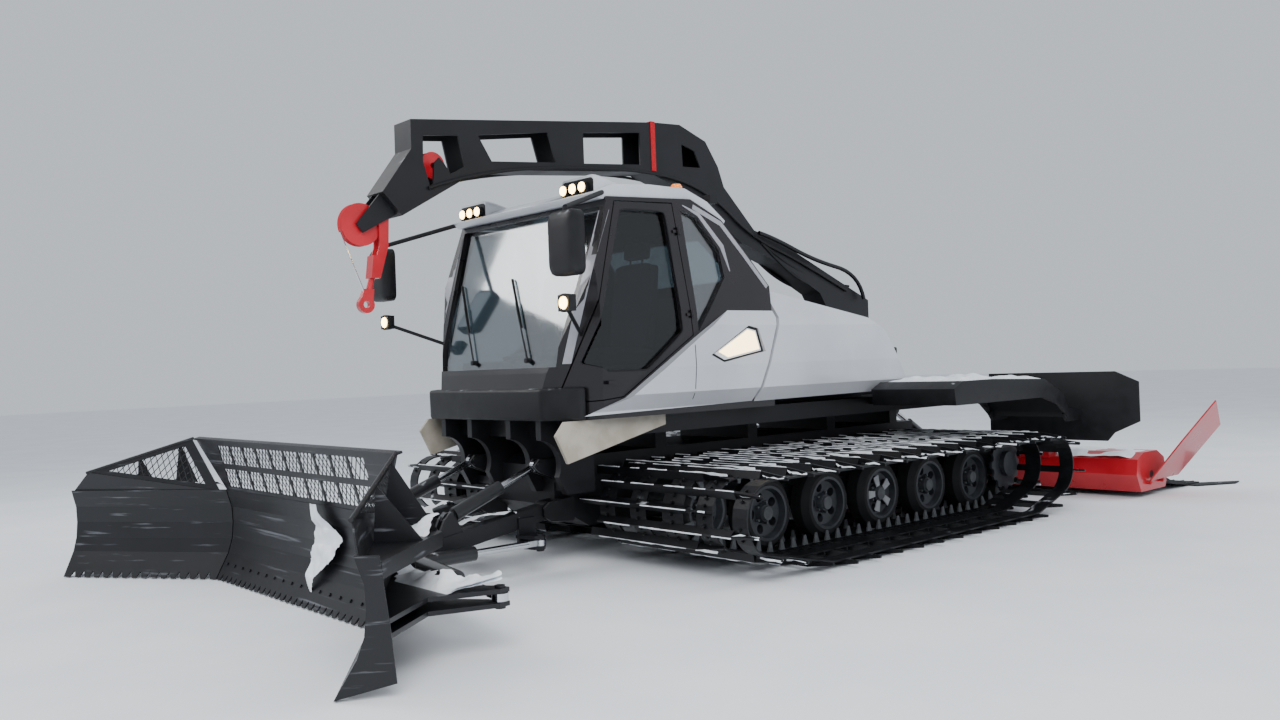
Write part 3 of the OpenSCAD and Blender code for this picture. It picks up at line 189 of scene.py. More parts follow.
# Painted and moulded finishes of the machine
frameBlack = surface(  # wet-sprayed chassis paint: satin, with a faint orange peel and blown snow
    "framePaintBlack", "#0e0e11", "#151519", 0.42, 260, peel=0.25, peelGrain=4, frost=0.2
)
bladeBlack = surface(  # painted plate steel, with painted sheen as light level streaks
    "bladePaintBlack", "#09090c", "#101015", 0.36, 340, peel=0.3, peelGrain=7, smear=0.22
)
cabBlack = surface(  # sprayed and lacquered steel: deep, with a brown cast
    "cabLacquerBlack", "#0f0b0e", "#151014", 0.2, 500, coat=0.35, peel=0.04
)
silverLacquer = surface(  # metallic lacquer on glass fibre
    "silverLacquer", "#c3c6cd", "#cfd2d8", 0.26, 900, metal=0.2, coat=0.7, peel=0.03, peelGrain=2
)
trimSilver = surface(  # lacquered pressed trim, a shade darker than the panels; also a painted highlight by the quarter window
    "trimSilver", "#9b9ba2", "#a8a8ae", 0.3, 300, metal=0.4, coat=0.4
)
blackAbs = surface(  # moulded ABS with a fine leather grain
    "mouldedAbsBlack", "#101012", "#17171a", 0.46, 90, ior=1.46, peel=0.35, peelGrain=2.5, frost=0.15
)
castGrey = surface(  # sand-cast and painted
    "castIronGrey", "#4c4f52", "#5d6063", 0.6, 60, metal=0.3, peel=0.8, peelGrain=5
)
barAluminium = surface(  # extruded aluminium bars, anodised dark and rimed
    "barAluminiumDark", "#0e0e11", "#17181b", 0.42, 120, metal=0.3, peel=0.4, peelGrain=6, frost=0.1
)
tyreRubber = surface(  # cured rubber
    "tyreRubber", "#0a0a0b", "#121214", 0.72, 70, ior=1.52, peel=0.8, peelGrain=6, frost=0.1
)
rimPaint = surface(  # pressed steel, painted
    "rimPaintGrey", "#26282c", "#33363b", 0.42, 110, peel=0.3, peelGrain=3, frost=0.1
)
rimPale = surface(  # a newer rim, in primer
    "rimPaintPale", "#8b8d90", "#9a9c9f", 0.45, 110, peel=0.3, peelGrain=3
)
skirtSheet = surface(  # ribbed polyethylene
    "skirtSheetBeige", "#a39b8d", "#b4ada0", 0.5, 140, peel=0.3, peelGrain=4
)
redLacquer = surface(  # glossy two-coat paint
    "redLacquer", "#ad1420", "#bd1d29", 0.26, 300, coat=0.4, peel=0.1, frost=0.25
)
cylinderBlack = surface(  # honed tube, painted
    "cylinderPaintBlack", "#0e0f11", "#17181b", 0.26, 160, coat=0.3, peel=0.1, frost=0.2
)
rodChrome = surface(  # hard chrome, ground and polished
    "rodChrome", "#c9ccd0", "#d6d9dc", 0.1, 200, metal=1.0
)
finisherRubber = surface(  # moulded comb mat
    "finisherRubber", "#141517", "#1d1e20", 0.6, 120, peel=0.6, peelGrain=8, frost=0.25
)
seatCloth = surface(  # woven wool mix
    "seatCloth", "#34363b", "#474a51", 0.9, 8, peel=0.9, peelGrain=2.2
)
snowWhite = surface(  # wind-packed snow: dull white with sugar-like grains
    "packedSnow", "#f3f6fa", "#e6ecf3", 0.7, 60, ior=1.31, peel=1.0, peelGrain=14, roughTo=0.85
)
strapRed = surface(  # polyester webbing
    "strapWebRed", "#c01a26", "#a8121d", 0.75, 9, peel=0.8, peelGrain=3
)
hoseRubber = surface(  # wrapped hydraulic hose
    "hoseRubber", "#0c0c0d", "#151517", 0.5, 25, peel=0.5, peelGrain=2
)
mirrorSilver = surface(  # silvered glass
    "mirrorSilver", "#cfd3d8", "#dadde1", 0.03, 400, metal=1.0, roughTo=0.05
)
lensWarm = lampGlow("lensWarm", "#ffd27a", 16.0)
lensSide = lampGlow("lensSide", "#ffe2a8", 5.0)
lensAmber = lampGlow("lensAmber", "#f07a10", 0.7)
lensClear = surface(  # moulded polycarbonate
    "lensClear", "#d8dde2", "#e8ecef", 0.08, 40, coat=0.5
)
paneGlass = windowGlass("paneGlass", "#ccd6da", 0.15)
doorGlass = windowGlass("doorGlassTinted", "#a9b1b4", 0.01)

finishes = {
    "chassis": frameBlack, "engine": castGrey, "track_left": barAluminium, "track_right": barAluminium,
    "tyres": tyreRubber, "wheels": rimPaint, "cab_frame": cabBlack, "cab_roof": silverLacquer, "cab_nose": blackAbs,
    "cab_glass": paneGlass, "door_left": cabBlack, "door_right": cabBlack, "door_glass_left": doorGlass,
    "door_glass_right": doorGlass, "seats": seatCloth, "side_panels": silverLacquer, "engine_cover_left": silverLacquer,
    "engine_cover_right": silverLacquer, "engine_deck": blackAbs, "skirts": skirtSheet, "fenders": blackAbs,
    "boom": frameBlack, "winch": frameBlack, "hook": redLacquer, "tip_sheave": redLacquer, "inner_sheave": redLacquer,
    "mirrors": blackAbs, "lamps": blackAbs, "push_frame": frameBlack, "swing_head": frameBlack, "blade": bladeBlack,
    "wing_left": bladeBlack, "wing_right": bladeBlack, "tiller_frame": frameBlack, "tiller_hood": redLacquer,
    "finisher": finisherRubber, "tiller_shaft": rimPaint, "tiller_side_left": redLacquer,
    "tiller_side_right": redLacquer,
}
for name, node in nodes.items():
    finish = finishes.get(name) or (cylinderBlack if "barrel" in name else rodChrome)
    for slot in node.material_slots:
        slot.material = finish
print("materials set")


# Skins of the CAD nodes, so that small pieces are set down on them
skins = {}


def touch(name, start, way):  # where a line from start first meets a node, and the skin's direction there
    if name not in skins:
        mesh = nodes[name].data
        skins[name] = BVHTree.FromPolygons([v.co for v in mesh.vertices], [p.vertices for p in mesh.polygons])
    spot, normal, _, _ = skins[name].ray_cast(Vector(start), Vector(way))
    if spot and normal.dot(Vector(way)) > 0:
        normal = -normal
    return spot, normal


# Small makers of pieces
def addObject(name, data, finish, body):
    data.materials.append(finish)
    made = bpy.data.objects.new(name, data)
    bpy.context.scene.collection.objects.link(made)
    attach(made, body)
    return made


def addPiece(name, points, faces, finish, body, smooth=False):
    mesh = bpy.data.meshes.new(name)
    mesh.from_pydata([tuple(p) for p in points], [], faces)
    mesh.validate()
    work = bmesh.new()
    work.from_mesh(mesh)
    bmesh.ops.recalc_face_normals(work, faces=work.faces)
    work.to_mesh(mesh)
    work.free()
    made = addObject(name, mesh, finish, body)
    if smooth:
        mesh.shade_smooth()
    return made


def prismFaces(count, caps=True):  # faces between two rings of points
    faces = [(i, (i + 1) % count, count + (i + 1) % count, count + i) for i in range(count)]
    return faces + ([tuple(range(count))[::-1], tuple(range(count, 2 * count))] if caps else [])


class Shape:  # gathers points and faces of like parts into one piece
    def __init__(self):
        self.points, self.faces = [], []

    def add(self, points, faces):
        first = len(self.points)
        self.points += [tuple(p) for p in points]
        self.faces += [[first + i for i in f] for f in faces]

    def box(self, low, high):
        corners = [(x, y, z) for x in (low[0], high[0]) for y in (low[1], high[1]) for z in (low[2], high[2])]
        self.add(corners, [(0, 1, 3, 2), (4, 6, 7, 5), (0, 4, 5, 1), (2, 3, 7, 6), (0, 2, 6, 4), (1, 5, 7, 3)])

    def tube(self, start, end, radius, count=12, endRadius=None, caps=True):
        start, end = Vector(start), Vector(end)
        turn = (end - start).to_track_quat("Z", "Y")
        angles = [2 * math.pi * i / count for i in range(count)]
        points = []
        for place, r in ((start, radius), (end, radius if endRadius is None else endRadius)):
            points += [place + turn @ Vector((r * math.cos(a), r * math.sin(a), 0)) for a in angles]
        self.add(points, prismFaces(count, caps))

    def plate(self, outline, low, high):  # an outline in x and z, pushed along y from low to high
        self.add([(a, y, b) for y in (low, high) for a, b in outline], prismFaces(len(outline)))

    def piece(self, name, finish, body, **more):
        return addPiece(name, self.points, self.faces, finish, body, **more)


def addHose(name, points, radius, finish, body, roundness=4, loop=False):
    data = bpy.data.curves.new(name, "CURVE")
    data.dimensions = "3D"
    data.bevel_depth = radius
    data.bevel_resolution = roundness
    data.resolution_u = 6
    line = data.splines.new("NURBS")
    line.points.add(len(points) - 1)
    for spot, p in zip(line.points, points):
        spot.co = (*p, 1)
    line.use_endpoint_u = not loop
    line.use_cyclic_u = loop
    line.order_u = 3
    return addObject(name, data, finish, body)


def refine(made):
    fine = made.modifiers.new("fine", "SUBSURF")
    fine.levels = fine.render_levels = 1


lumps = {
    "swell": 3.5,  # per metre, wide ones and small ones
    "ripple": 13,
    "rippleShare": 0.45,
    "rim": 0.07,  # from the edge to its full depth
    "steepest": 0.09,  # rise of the skin within one cell that snow doesn't bridge
    "sink": 0.002,
}


def addSnow(name, low, high, onto, thick, body, seed, cover, cell=0.028):  # a drift on the skin that onto(u, v) finds
    count = [max(4, round((high[k] - low[k]) / cell)) for k in (0, 1)]
    step = [(high[k] - low[k]) / count[k] for k in (0, 1)]
    depth, under = {}, {}
    for i in range(count[0] + 1):
        for j in range(count[1] + 1):
            u, v = low[0] + step[0] * i, low[1] + step[1] * j
            rim = min(i * step[0], (count[0] - i) * step[0], j * step[1], (count[1] - j) * step[1])
            swell = noise.noise(Vector((u * lumps["swell"], v * lumps["swell"], seed)))
            ripple = noise.noise(Vector((u * lumps["ripple"], v * lumps["ripple"], seed + 9)))
            lump = swell + lumps["rippleShare"] * ripple
            under[i, j] = onto(u, v)
            depth[i, j] = thick * (cover + lump) * min(1, rim / lumps["rim"]) if under[i, j][0] else -1
    shape, index = Shape(), {}
    for i in range(count[0]):
        for j in range(count[1]):
            ring = [(i, j), (i + 1, j), (i + 1, j + 1), (i, j + 1)]
            if max(depth[k] for k in ring) <= 0 or any(under[k][0] is None for k in ring):
                continue
            heights = [under[k][0].z for k in ring]
            if max(heights) - min(heights) > lumps["steepest"]:
                continue
            for k in ring:
                if k not in index:
                    index[k] = len(shape.points)
                    shape.points.append(tuple(under[k][0] + under[k][1] * max(-lumps["sink"], depth[k])))
            shape.faces.append([index[k] for k in ring])
    if shape.faces:
        refine(shape.piece(name, snowWhite, body, smooth=True))


sides = (("left", 1), ("right", -1))

# Moulded and folded parts: their own shapes, with the edges rounded as in the photograph
rounded = {
    "cab_nose": (0.035, blackAbs),
    "fenders": (0.02, blackAbs),
    "winch": (0.012, frameBlack),
    "cab_roof": (0.012, silverLacquer),
}


def softCopy(name, width, finish):
    mesh = nodes[name].data.copy()
    work = bmesh.new()
    work.from_mesh(mesh)
    bmesh.ops.remove_doubles(work, verts=work.verts, dist=0.00005)
    bmesh.ops.dissolve_limit(work, angle_limit=0.01, verts=work.verts, edges=work.edges)
    edges = [e for e in work.edges if len(e.link_faces) == 2 and e.calc_face_angle(0) > 0.35]
    bmesh.ops.bevel(work, geom=edges, offset=width, segments=3, profile=0.5, affect="EDGES", clamp_overlap=True)
    bmesh.ops.triangulate(work, faces=[f for f in work.faces if len(f.verts) > 4])
    work.to_mesh(mesh)
    work.free()
    mesh.materials.clear()
    mesh.shade_smooth()
    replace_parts(addObject("soft_" + name, mesh, finish, "machine"), name)


for name, (width, finish) in rounded.items():
    softCopy(name, width, finish)

# Tracks: bolts that hold each bar on its belts, guide horns beside the wheels, ice on the bars
track = {
    "sprocket": (-1.970, 0.430, 0.243),  # x, z and radius
    "idler": (1.900, 0.430, 0.243),
    "front": (1.260, 0.3403, 0.2803),
    "rear": (-1.540, 0.3403, 0.2803),
    "belt": 0.012,
    "pitch": 0.135,
    "belts": (0.745, 1.085, 1.440, 1.755, 2.080),
    "shortEnd": 1.9,  # only the long bars reach a belt further out
    "boltStep": 0.042,
    "boltFoot": 0.013,
    "boltHead": 0.010,
    "boltHeight": 0.016,
    "boltSink": 0.002,
    "hornRows": (1.325, 1.555),
    "hornHalf": (0.028, 0.009),
    "hornHeight": 0.075,
    "hornTaper": 0.4,
}


def barPlaces():  # x, z and heading of each bar, and whether it is a long one
    rounds = [track["sprocket"], track["idler"], track["front"], track["rear"]]
    leave = []
    for i in range(4):
        a, b = rounds[i], rounds[(i + 1) % 4]
        dx, dz = b[0] - a[0], b[1] - a[1]
        leave.append(math.atan2(dz, dx) - math.asin((a[2] - b[2]) / math.hypot(dx, dz)))
    arrive = [leave[i - 1] + (2 * math.pi if leave[i - 1] < leave[i] else 0) for i in range(4)]
    t = track["belt"]

    def rim(i, heading):
        r = rounds[i][2] + t
        return Vector((rounds[i][0] - r * math.sin(heading), rounds[i][1] + r * math.cos(heading)))

    arcs = [(arrive[i] - leave[i]) * (rounds[i][2] + t) for i in range(4)]
    runs = [(rim((i + 1) % 4, leave[i]) - rim(i, leave[i])).length for i in range(4)]
    starts = [sum(arcs[:i]) + sum(runs[:i]) for i in range(5)]
    count = 2 * round(starts[4] / track["pitch"] / 2)
    for k in range(count):
        s = k * starts[4] / count
        i = max(j for j in range(4) if s >= starts[j] - 1e-9)
        along = s - starts[i]
        heading = arrive[i] + (leave[i] - arrive[i]) * along / arcs[i] if along < arcs[i] else leave[i]
        more = max(0, along - arcs[i])
        p = rim(i, heading)
        yield p.x + more * math.cos(heading), p.y + more * math.sin(heading), heading, k % 2 == 0


ice = {
    "crest": 0.051,  # height over the belt line, along the crest and on a long bar's tip
    "tip": 0.019,
    "tipFrom": 2.02,
    "tipWide": 1.9,
    "half": 0.0058,
    "thick": 0.016,
    "step": 0.05,
    "gap": 0.09,  # share of places without ice
    "long": (0.665, 2.245),
    "short": (0.48, 1.84),
    "lowest": 0.12,  # bars below this stand in the snow
}
blockFaces = [(0, 1, 2, 3), (4, 7, 6, 5), (0, 4, 5, 1), (1, 5, 6, 2), (2, 6, 7, 3), (3, 7, 4, 0)]
for side, sign in sides:
    bolts, horns, crests = Shape(), Shape(), Shape()
    for x, z, heading, isLong in barPlaces():
        out = Vector((-math.sin(heading), 0, math.cos(heading)))
        on = Vector((math.cos(heading), 0, math.sin(heading)))
        spot = Vector((x, 0, z))
        for y in track["belts"]:
            if y > track["shortEnd"] and not isLong:
                continue
            for step in (-track["boltStep"], track["boltStep"]):
                foot = spot + on * step + Vector((0, sign * y, 0))
                low, high = foot - out * track["boltSink"], foot + out * track["boltHeight"]
                bolts.tube(low, high, track["boltFoot"], 6, track["boltHead"])
        for y in track["hornRows"]:
            foot = spot + Vector((0, sign * y, 0)) - out * track["belt"]
            tip = foot - out * track["hornHeight"]
            wide, thin = on * track["hornHalf"][0], Vector((0, track["hornHalf"][1], 0))
            ring = [foot - wide - thin, foot + wide - thin, foot + wide + thin, foot - wide + thin]
            ring += [tip + (p - foot) * track["hornTaper"] for p in ring]
            horns.add(ring, blockFaces)
        if z < ice["lowest"]:
            continue
        start, end = ice["long"] if isLong else ice["short"]
        y, last = start, None
        while y < end:
            tip = isLong and y > ice["tipFrom"]
            wide = ice["half"] * random.uniform(0.6, 1.35) * (ice["tipWide"] if tip else 1)
            high = (ice["tip"] if tip else ice["crest"]) + random.uniform(-0.002, 0.005)
            if random.random() < ice["gap"] and not tip:
                last = None
            else:
                low = high - ice["thick"]
                middle = spot + Vector((0, sign * y, 0))
                section = ((-wide, low), (-wide * 0.5, high), (wide * 0.5, high), (wide, low))
                ring = [middle + on * a + out * b for a, b in section]
                if last:
                    crests.add(last + ring, [(0, 1, 5, 4), (1, 2, 6, 5), (2, 3, 7, 6), (0, 3, 2, 1), (4, 5, 6, 7)])
                last = ring
            y += ice["step"] * random.uniform(0.7, 1.3)
    bolts.piece("barBolts_" + side, barAluminium, "machine")
    horns.piece("guideHorns_" + side, castGrey, "machine")
    crests.piece("crestIce_" + side, snowWhite, "machine")
print("tracks dressed")

# Wheels: hub caps with their bolts, and the paler spokes of one newer rim on each side
wheel = {
    "places": [(1.900, 0.430)] + [(1.260 - 0.7 * i, 0.3403) for i in range(5)],
    "face": 1.440 + 0.095 - 0.025,  # the wheels' row and half their width, less the dish
    "hub": (0.058, 0.05),
    "hubDepth": (-0.02, 0.022),
    "boltCircle": 0.082,
    "boltDepth": (-0.05, -0.012),
    "boltRadius": 0.010,
    "spokeRun": (0.064, 0.150),
    "spokeHalf": (0.022, 0.034),
    "spokeFace": (-0.001, 0.007),
    "pale": 3,
}
hubs = Shape()
for side, sign in sides:
    face = sign * wheel["face"]
    for x, z in wheel["places"]:
        back, front = (face + sign * depth for depth in wheel["hubDepth"])
        hubs.tube((x, back, z), (x, front, z), wheel["hub"][0], 24, wheel["hub"][1])
        for k in range(5):
            a = math.radians(36 + 72 * k)
            bx, bz = x + wheel["boltCircle"] * math.cos(a), z + wheel["boltCircle"] * math.sin(a)
            back, front = (face + sign * depth for depth in wheel["boltDepth"])
            hubs.tube((bx, back, bz), (bx, front, bz), wheel["boltRadius"], 6)
hubs.piece("wheelHubs", castGrey, "machine")
pale = Shape()
for side, sign in sides:
    x, z = wheel["places"][wheel["pale"]]
    low, high = sorted(sign * (wheel["face"] + depth) for depth in wheel["spokeFace"])
    (near, far), (slim, wide) = wheel["spokeRun"], wheel["spokeHalf"]
    for k in range(5):
        a = math.radians(72 * k)
        on, over = Vector((math.cos(a), math.sin(a))), Vector((-math.sin(a), math.cos(a)))
        outline = [on * near + over * slim, on * near - over * slim, on * far - over * wide, on * far + over * wide]
        pale.plate([(x + p.x, z + p.y) for p in outline], low, high)
pale.piece("paleSpokes", rimPale, "machine")

# Blade: wire net across the windows of the middle screen and of the wings
net = {
    "pitch": 0.046,
    "wire": 0.0032,
    "leans": (57, 123),
    "shortest": 0.02,
    "foot": 0.656,
    "top": 1.041,
    "lean": math.radians(14.6),
    "x": 4.212,
    "half": 1.205,
    "topHalf": 1.560,
    "wingHinge": (4.330, 1.180),
    "wingTurn": 34,
    "wingField": ((-0.118, 0.030, 0.650), (-0.084, 1.165, 0.800), (-0.216, 0.330, 1.035)),
    "wingShare": 0.76,
}


def netOver(shape, corners):  # two crossing sets of wires, cut at the edges of a flat convex field
    corners = [Vector(p) for p in corners]
    across = (corners[1] - corners[0]).normalized()
    normal = across.cross(corners[2] - corners[0]).normalized()
    up = normal.cross(across)
    flat = [Vector(((p - corners[0]).dot(across), (p - corners[0]).dot(up))) for p in corners]
    pitch = net["pitch"]
    for lean in net["leans"]:
        a = math.radians(lean)
        way, side = Vector((math.cos(a), math.sin(a))), Vector((-math.sin(a), math.cos(a)))
        spans = [p.dot(side) for p in flat]
        for k in range(math.ceil(min(spans) / pitch), math.floor(max(spans) / pitch) + 1):
            cuts = []
            for p, q in zip(flat, flat[1:] + flat[:1]):
                d0, d1 = p.dot(side) - k * pitch, q.dot(side) - k * pitch
                if d0 * d1 < 0:
                    cuts.append((p + (q - p) * (d0 / (d0 - d1))).dot(way))
            if len(cuts) == 2 and abs(cuts[1] - cuts[0]) > net["shortest"]:
                ends = [side * (k * pitch) + way * c for c in cuts]
                ends = [corners[0] + across * e.x + up * e.y for e in ends]
                shape.tube(ends[0], ends[1], net["wire"], 4, caps=False)


wires = Shape()
low, high = (net["half"], net["foot"]), (net["topHalf"], net["top"])
field = [low, (-low[0], low[1]), (-high[0], high[1]), high]
netOver(wires, [(net["x"] + (z - net["foot"]) * math.tan(net["lean"]), y, z) for y, z in field])
wires.piece("bladeNet", bladeBlack, "blade")
for side, sign in sides:
    hinge = Matrix.Translation((net["wingHinge"][0], sign * net["wingHinge"][1], 0))
    turn = hinge @ Matrix.Rotation(math.radians(-net["wingTurn"] * sign), 4, "Z")
    field = [turn @ Vector((x, sign * y, z)) for x, y, z in net["wingField"]]
    middle = sum(field, Vector()) / 3
    wires = Shape()
    netOver(wires, [middle + (p - middle) * net["wingShare"] for p in field])
    wires.piece("wingNet_" + side, bladeBlack, "wing_" + side)
print("blade dressed")

# Lamps: lit work lamps on the roof, in the mirrors' arms and in the body's sides
roofLamp = {"rows": (-0.80, -0.69, -0.58, 0.58, 0.69, 0.80), "x": (2.328, 2.338), "z": 2.782, "radius": 0.037}
armLamp = {"x": (2.858, 2.868), "y": 1.22, "z": 1.905, "radius": (0.044, 0.04)}
lenses = Shape()
for y in roofLamp["rows"]:
    start, end = ((x, y, roofLamp["z"]) for x in roofLamp["x"])
    lenses.tube(start, end, roofLamp["radius"], 24, roofLamp["radius"] * 0.9)
for side, sign in sides:
    start, end = ((x, sign * armLamp["y"], armLamp["z"]) for x in armLamp["x"])
    lenses.tube(start, end, armLamp["radius"][0], 24, armLamp["radius"][1])
lenses.piece("litLenses", lensWarm, "machine")
workLamp = {
    "outline": [(1.350, 1.530), (1.215, 1.470), (0.725, 1.548), (0.790, 1.733), (0.900, 1.755)],
    "layers": {  # share of the outline, how far it is moved, low and high face, finish
        "lampShell_": (1, (0, 0), 1.045, 1.062, blackAbs),
        "lampLens_": (0.86, (0, 0), 1.062, 1.072, lensClear),
        "lampLight_": (0.74, (-0.01, 0.004), 1.0725, 1.077, lensSide),
    },
}
for side, sign in sides:
    outline = [Vector(p) for p in workLamp["outline"]]
    middle = sum(outline, Vector((0, 0))) / len(outline)
    for label, (share, shift, low, high, finish) in workLamp["layers"].items():
        layer = Shape()
        layer.plate([tuple(middle + Vector(shift) + (p - middle) * share) for p in outline], sign * low, sign * high)
        layer.piece(label + side, finish, "machine")
beacon = {
    "place": (1.34, 0.76),
    "sink": 0.02,
    "foot": (0.022, 0.062, 0.056),  # top of the foot, its lower and its upper radius
    "dome": ((0.022, 0.070, 0.050, 0.048), (0.070, 0.092, 0.048, 0.034)),  # low, high, radius at each
}
rearLamp = {
    "places": ((1.10, 0.82), (1.10, -0.82)),
    "stalk": ((-0.03, 0, 0.075), 0.010),
    "box": ((-0.10, -0.055, 0.06), (-0.02, 0.055, 0.13)),
}


def onRoof(x, y):
    return touch("cab_roof", (x, y, 4), (0, 0, -1))[0]


amber, fittings = Shape(), Shape()
spot, sink = onRoof(*beacon["place"]), Vector((0, 0, beacon["sink"]))
top, lower, upper = beacon["foot"]
fittings.tube(spot - sink, spot + Vector((0, 0, top)), lower, 32, upper)
for low, high, lower, upper in beacon["dome"]:
    amber.tube(spot + Vector((0, 0, low)), spot + Vector((0, 0, high)), lower, 32, upper)
amber.piece("amberBeacon", lensAmber, "machine")
for x, y in rearLamp["places"]:
    foot = onRoof(x, y)
    lean, radius = rearLamp["stalk"]
    fittings.tube(foot - sink, foot + Vector(lean), radius, 10)
    fittings.box(*[(x + a, y + b, foot.z + c) for a, b, c in rearLamp["box"]])
fittings.piece("roofFittings", blackAbs, "machine")


def ringOf(middle, half, soft, count=6):  # an upright rectangle across the machine, with round corners
    points = []
    for k, (a, b) in enumerate(((1, 1), (-1, 1), (-1, -1), (1, -1))):
        for j in range(count + 1):
            turn = math.pi / 2 * (k + j / count)
            u = a * (half[0] - soft) + soft * math.cos(turn)
            v = b * (half[1] - soft) + soft * math.sin(turn)
            points.append(Vector(middle) + Vector((0, u, v)))
    return points


def addLoft(name, rings, finish, smooth=True):  # a skin over rings of the same count, closed at both ends
    count = len(rings[0])
    faces = [
        (r * count + i, r * count + (i + 1) % count, (r + 1) * count + (i + 1) % count, (r + 1) * count + i)
        for r in range(len(rings) - 1)
        for i in range(count)
    ]
    ends = [tuple(range(count))[::-1], tuple((len(rings) - 1) * count + i for i in range(count))]
    addPiece(name, [p for ring in rings for p in ring], faces + ends, finish, "machine", smooth)


# Roof lamps: a tapered silver hood behind each group, with a black face about its lamps
pod = {
    "front": 2.284,
    "back": 1.78,
    "low": 2.722,
    "high": 2.868,
    "inner": 0.505,
    "outer": 0.900,
    "shares": (0, 0.06, 0.2, 0.4, 0.6, 0.8, 1),
    "corner": 0.035,
    "face": {"x": (2.280, 2.2915), "z": 2.786, "half": (0.178, 0.062), "corner": 0.03},
}
for side, sign in sides:
    rings = []
    for share in pod["shares"]:
        x = pod["front"] + (pod["back"] - pod["front"]) * share
        top = pod["low"] + (pod["high"] - pod["low"]) * (1 - share**1.7)
        half = (pod["outer"] - pod["inner"]) / 2 * (1 - 0.35 * share**1.5) * (0.97 if share == 0 else 1)
        middle = (pod["inner"] + pod["outer"]) / 2
        roof = onRoof(x, sign * middle)
        low = min(pod["low"], roof.z - 0.02)
        high = max(top, roof.z + 0.006)
        spot = (x, sign * middle, (low + high) / 2)
        rings.append(ringOf(spot, (half, (high - low) / 2), min(pod["corner"], (high - low) * 0.35)))
    addLoft("roofPod_" + side, rings, silverLacquer)
    face = pod["face"]
    middle = sign * (pod["inner"] + pod["outer"]) / 2
    rings = [ringOf((x, middle, face["z"]), face["half"], face["corner"]) for x in face["x"]]
    addLoft("roofPodFace_" + side, rings, blackAbs, smooth=False)

# Mirrors: a soft moulded shell around each head and each lamp, the glass behind
mirror = {
    "place": (1.255, 2.30),  # y and z
    "half": (0.14, 0.216),
    "corner": 0.055,
    "rings": ((2.794, 0.97), (2.797, 1), (2.86, 1), (2.884, 0.97), (2.901, 0.88), (2.911, 0.7), (2.915, 0.4)),
    "glass": {"x": (2.794, 2.791), "half": (0.118, 0.192), "corner": 0.045},
    "lampHalf": (0.066, 0.06),
    "lampCorner": 0.05,
    "lampRings": ((2.795, 0.7), (2.815, 1), (2.855, 1.04), (2.8575, 1.0)),
}


def grownRings(places, y, z, half, corner):  # rings about one axis, each with its x and size
    return [ringOf((x, y, z), (half[0] * size, half[1] * size), corner * size) for x, size in places]


for side, sign in sides:
    y, z = mirror["place"]
    y *= sign
    addLoft("mirrorShell_" + side, grownRings(mirror["rings"], y, z, mirror["half"], mirror["corner"]), blackAbs)
    glass = mirror["glass"]
    rings = [ringOf((x, y, z), glass["half"], glass["corner"]) for x in glass["x"]]
    addLoft("mirrorFace_" + side, rings, mirrorSilver, smooth=False)
    y, z = sign * armLamp["y"], armLamp["z"]
    rings = grownRings(mirror["lampRings"], y, z, mirror["lampHalf"], mirror["lampCorner"])
    addLoft("mirrorLampShell_" + side, rings, blackAbs)
print("lamps dressed")

# Boom: the rope from its tip sheave to the hook, a red strap, hoses along it and tubes with hoses behind
rope = {"start": (3.835, 0, 2.463), "end": (3.672, 0, 2.06), "radius": 0.007}
line = Shape()
line.tube(rope["start"], rope["end"], rope["radius"], 10)
line.piece("winchRope", rodChrome, "boom")
web = {"x": (0.955, 1.005), "inside": 0.119, "outside": 0.124, "z": (3.13, 3.552), "over": (3.548, 3.553)}
strap = Shape()
for low, high in ((-web["outside"], -web["inside"]), (web["inside"], web["outside"])):
    strap.box((web["x"][0], low, web["z"][0]), (web["x"][1], high, web["z"][1]))
strap.box((web["x"][0], -web["outside"], web["over"][0]), (web["x"][1], web["outside"], web["over"][1]))
strap.piece("boomStrap", strapRed, "boom")
boomHose = {
    "radius": 0.012,
    "route": (
        (-1.6, 0.13, 2.15), (-0.9, 0.135, 2.42), (-0.2, 0.135, 2.62), (0.3, 0.135, 2.98),
        (0.9, 0.135, 3.12), (1.9, 0.135, 3.08), (2.8, 0.135, 2.95), (3.2, 0.13, 2.80),
    ),
}
for k, sign in enumerate((1, -1)):
    route = [(x, sign * y, z) for x, y, z in boomHose["route"]]
    addHose("boomHose%d" % k, route, boomHose["radius"], hoseRubber, "boom")
print("boom dressed")

# Cab: wipers that lie on the glass
wiper = {
    "sweeps": ((0.42, 0.10), (-0.30, -0.62)),  # y of each pivot and of its blade's middle
    "low": 1.53,
    "tip": 1.98,
    "reach": 0.24,
    "lifts": (0.02, 0.03, 0.012),  # over the glass: pivot, arm's end and rubber
    "pivot": 0.018,
    "arm": (0.008, 0.005),
    "rubber": 0.007,
    "spine": 0.005,
}


def onGlass(y, z, lift):
    spot, normal = touch("cab_glass", (4, y, z), (-1, 0, 0))
    return spot + normal * lift


arms, rubbers = Shape(), Shape()
for foot, tip in wiper["sweeps"]:
    base, end = onGlass(foot, wiper["low"], wiper["lifts"][0]), onGlass(tip, wiper["tip"], wiper["lifts"][1])
    arms.tube(base - Vector((0.03, 0, 0)), base + Vector((0.02, 0, 0)), wiper["pivot"], 12)
    arms.tube(base, end, wiper["arm"][0], 8, wiper["arm"][1])
    lean = Vector((tip - foot, wiper["tip"] - wiper["low"])).normalized()
    ends = [(tip + lean.x * r, wiper["tip"] + lean.y * r) for r in (-wiper["reach"], 0, wiper["reach"])]
    line = [onGlass(y, z, wiper["lifts"][2]) for y, z in ends]
    over = Vector((0.012, 0, 0))
    for a, b in zip(line, line[1:]):
        rubbers.tube(a, b, wiper["rubber"], 6)
        arms.tube(a + over, b + over, wiper["spine"], 6)
arms.piece("wiperArms", blackAbs, "machine")
rubbers.piece("wiperRubbers", hoseRubber, "machine")


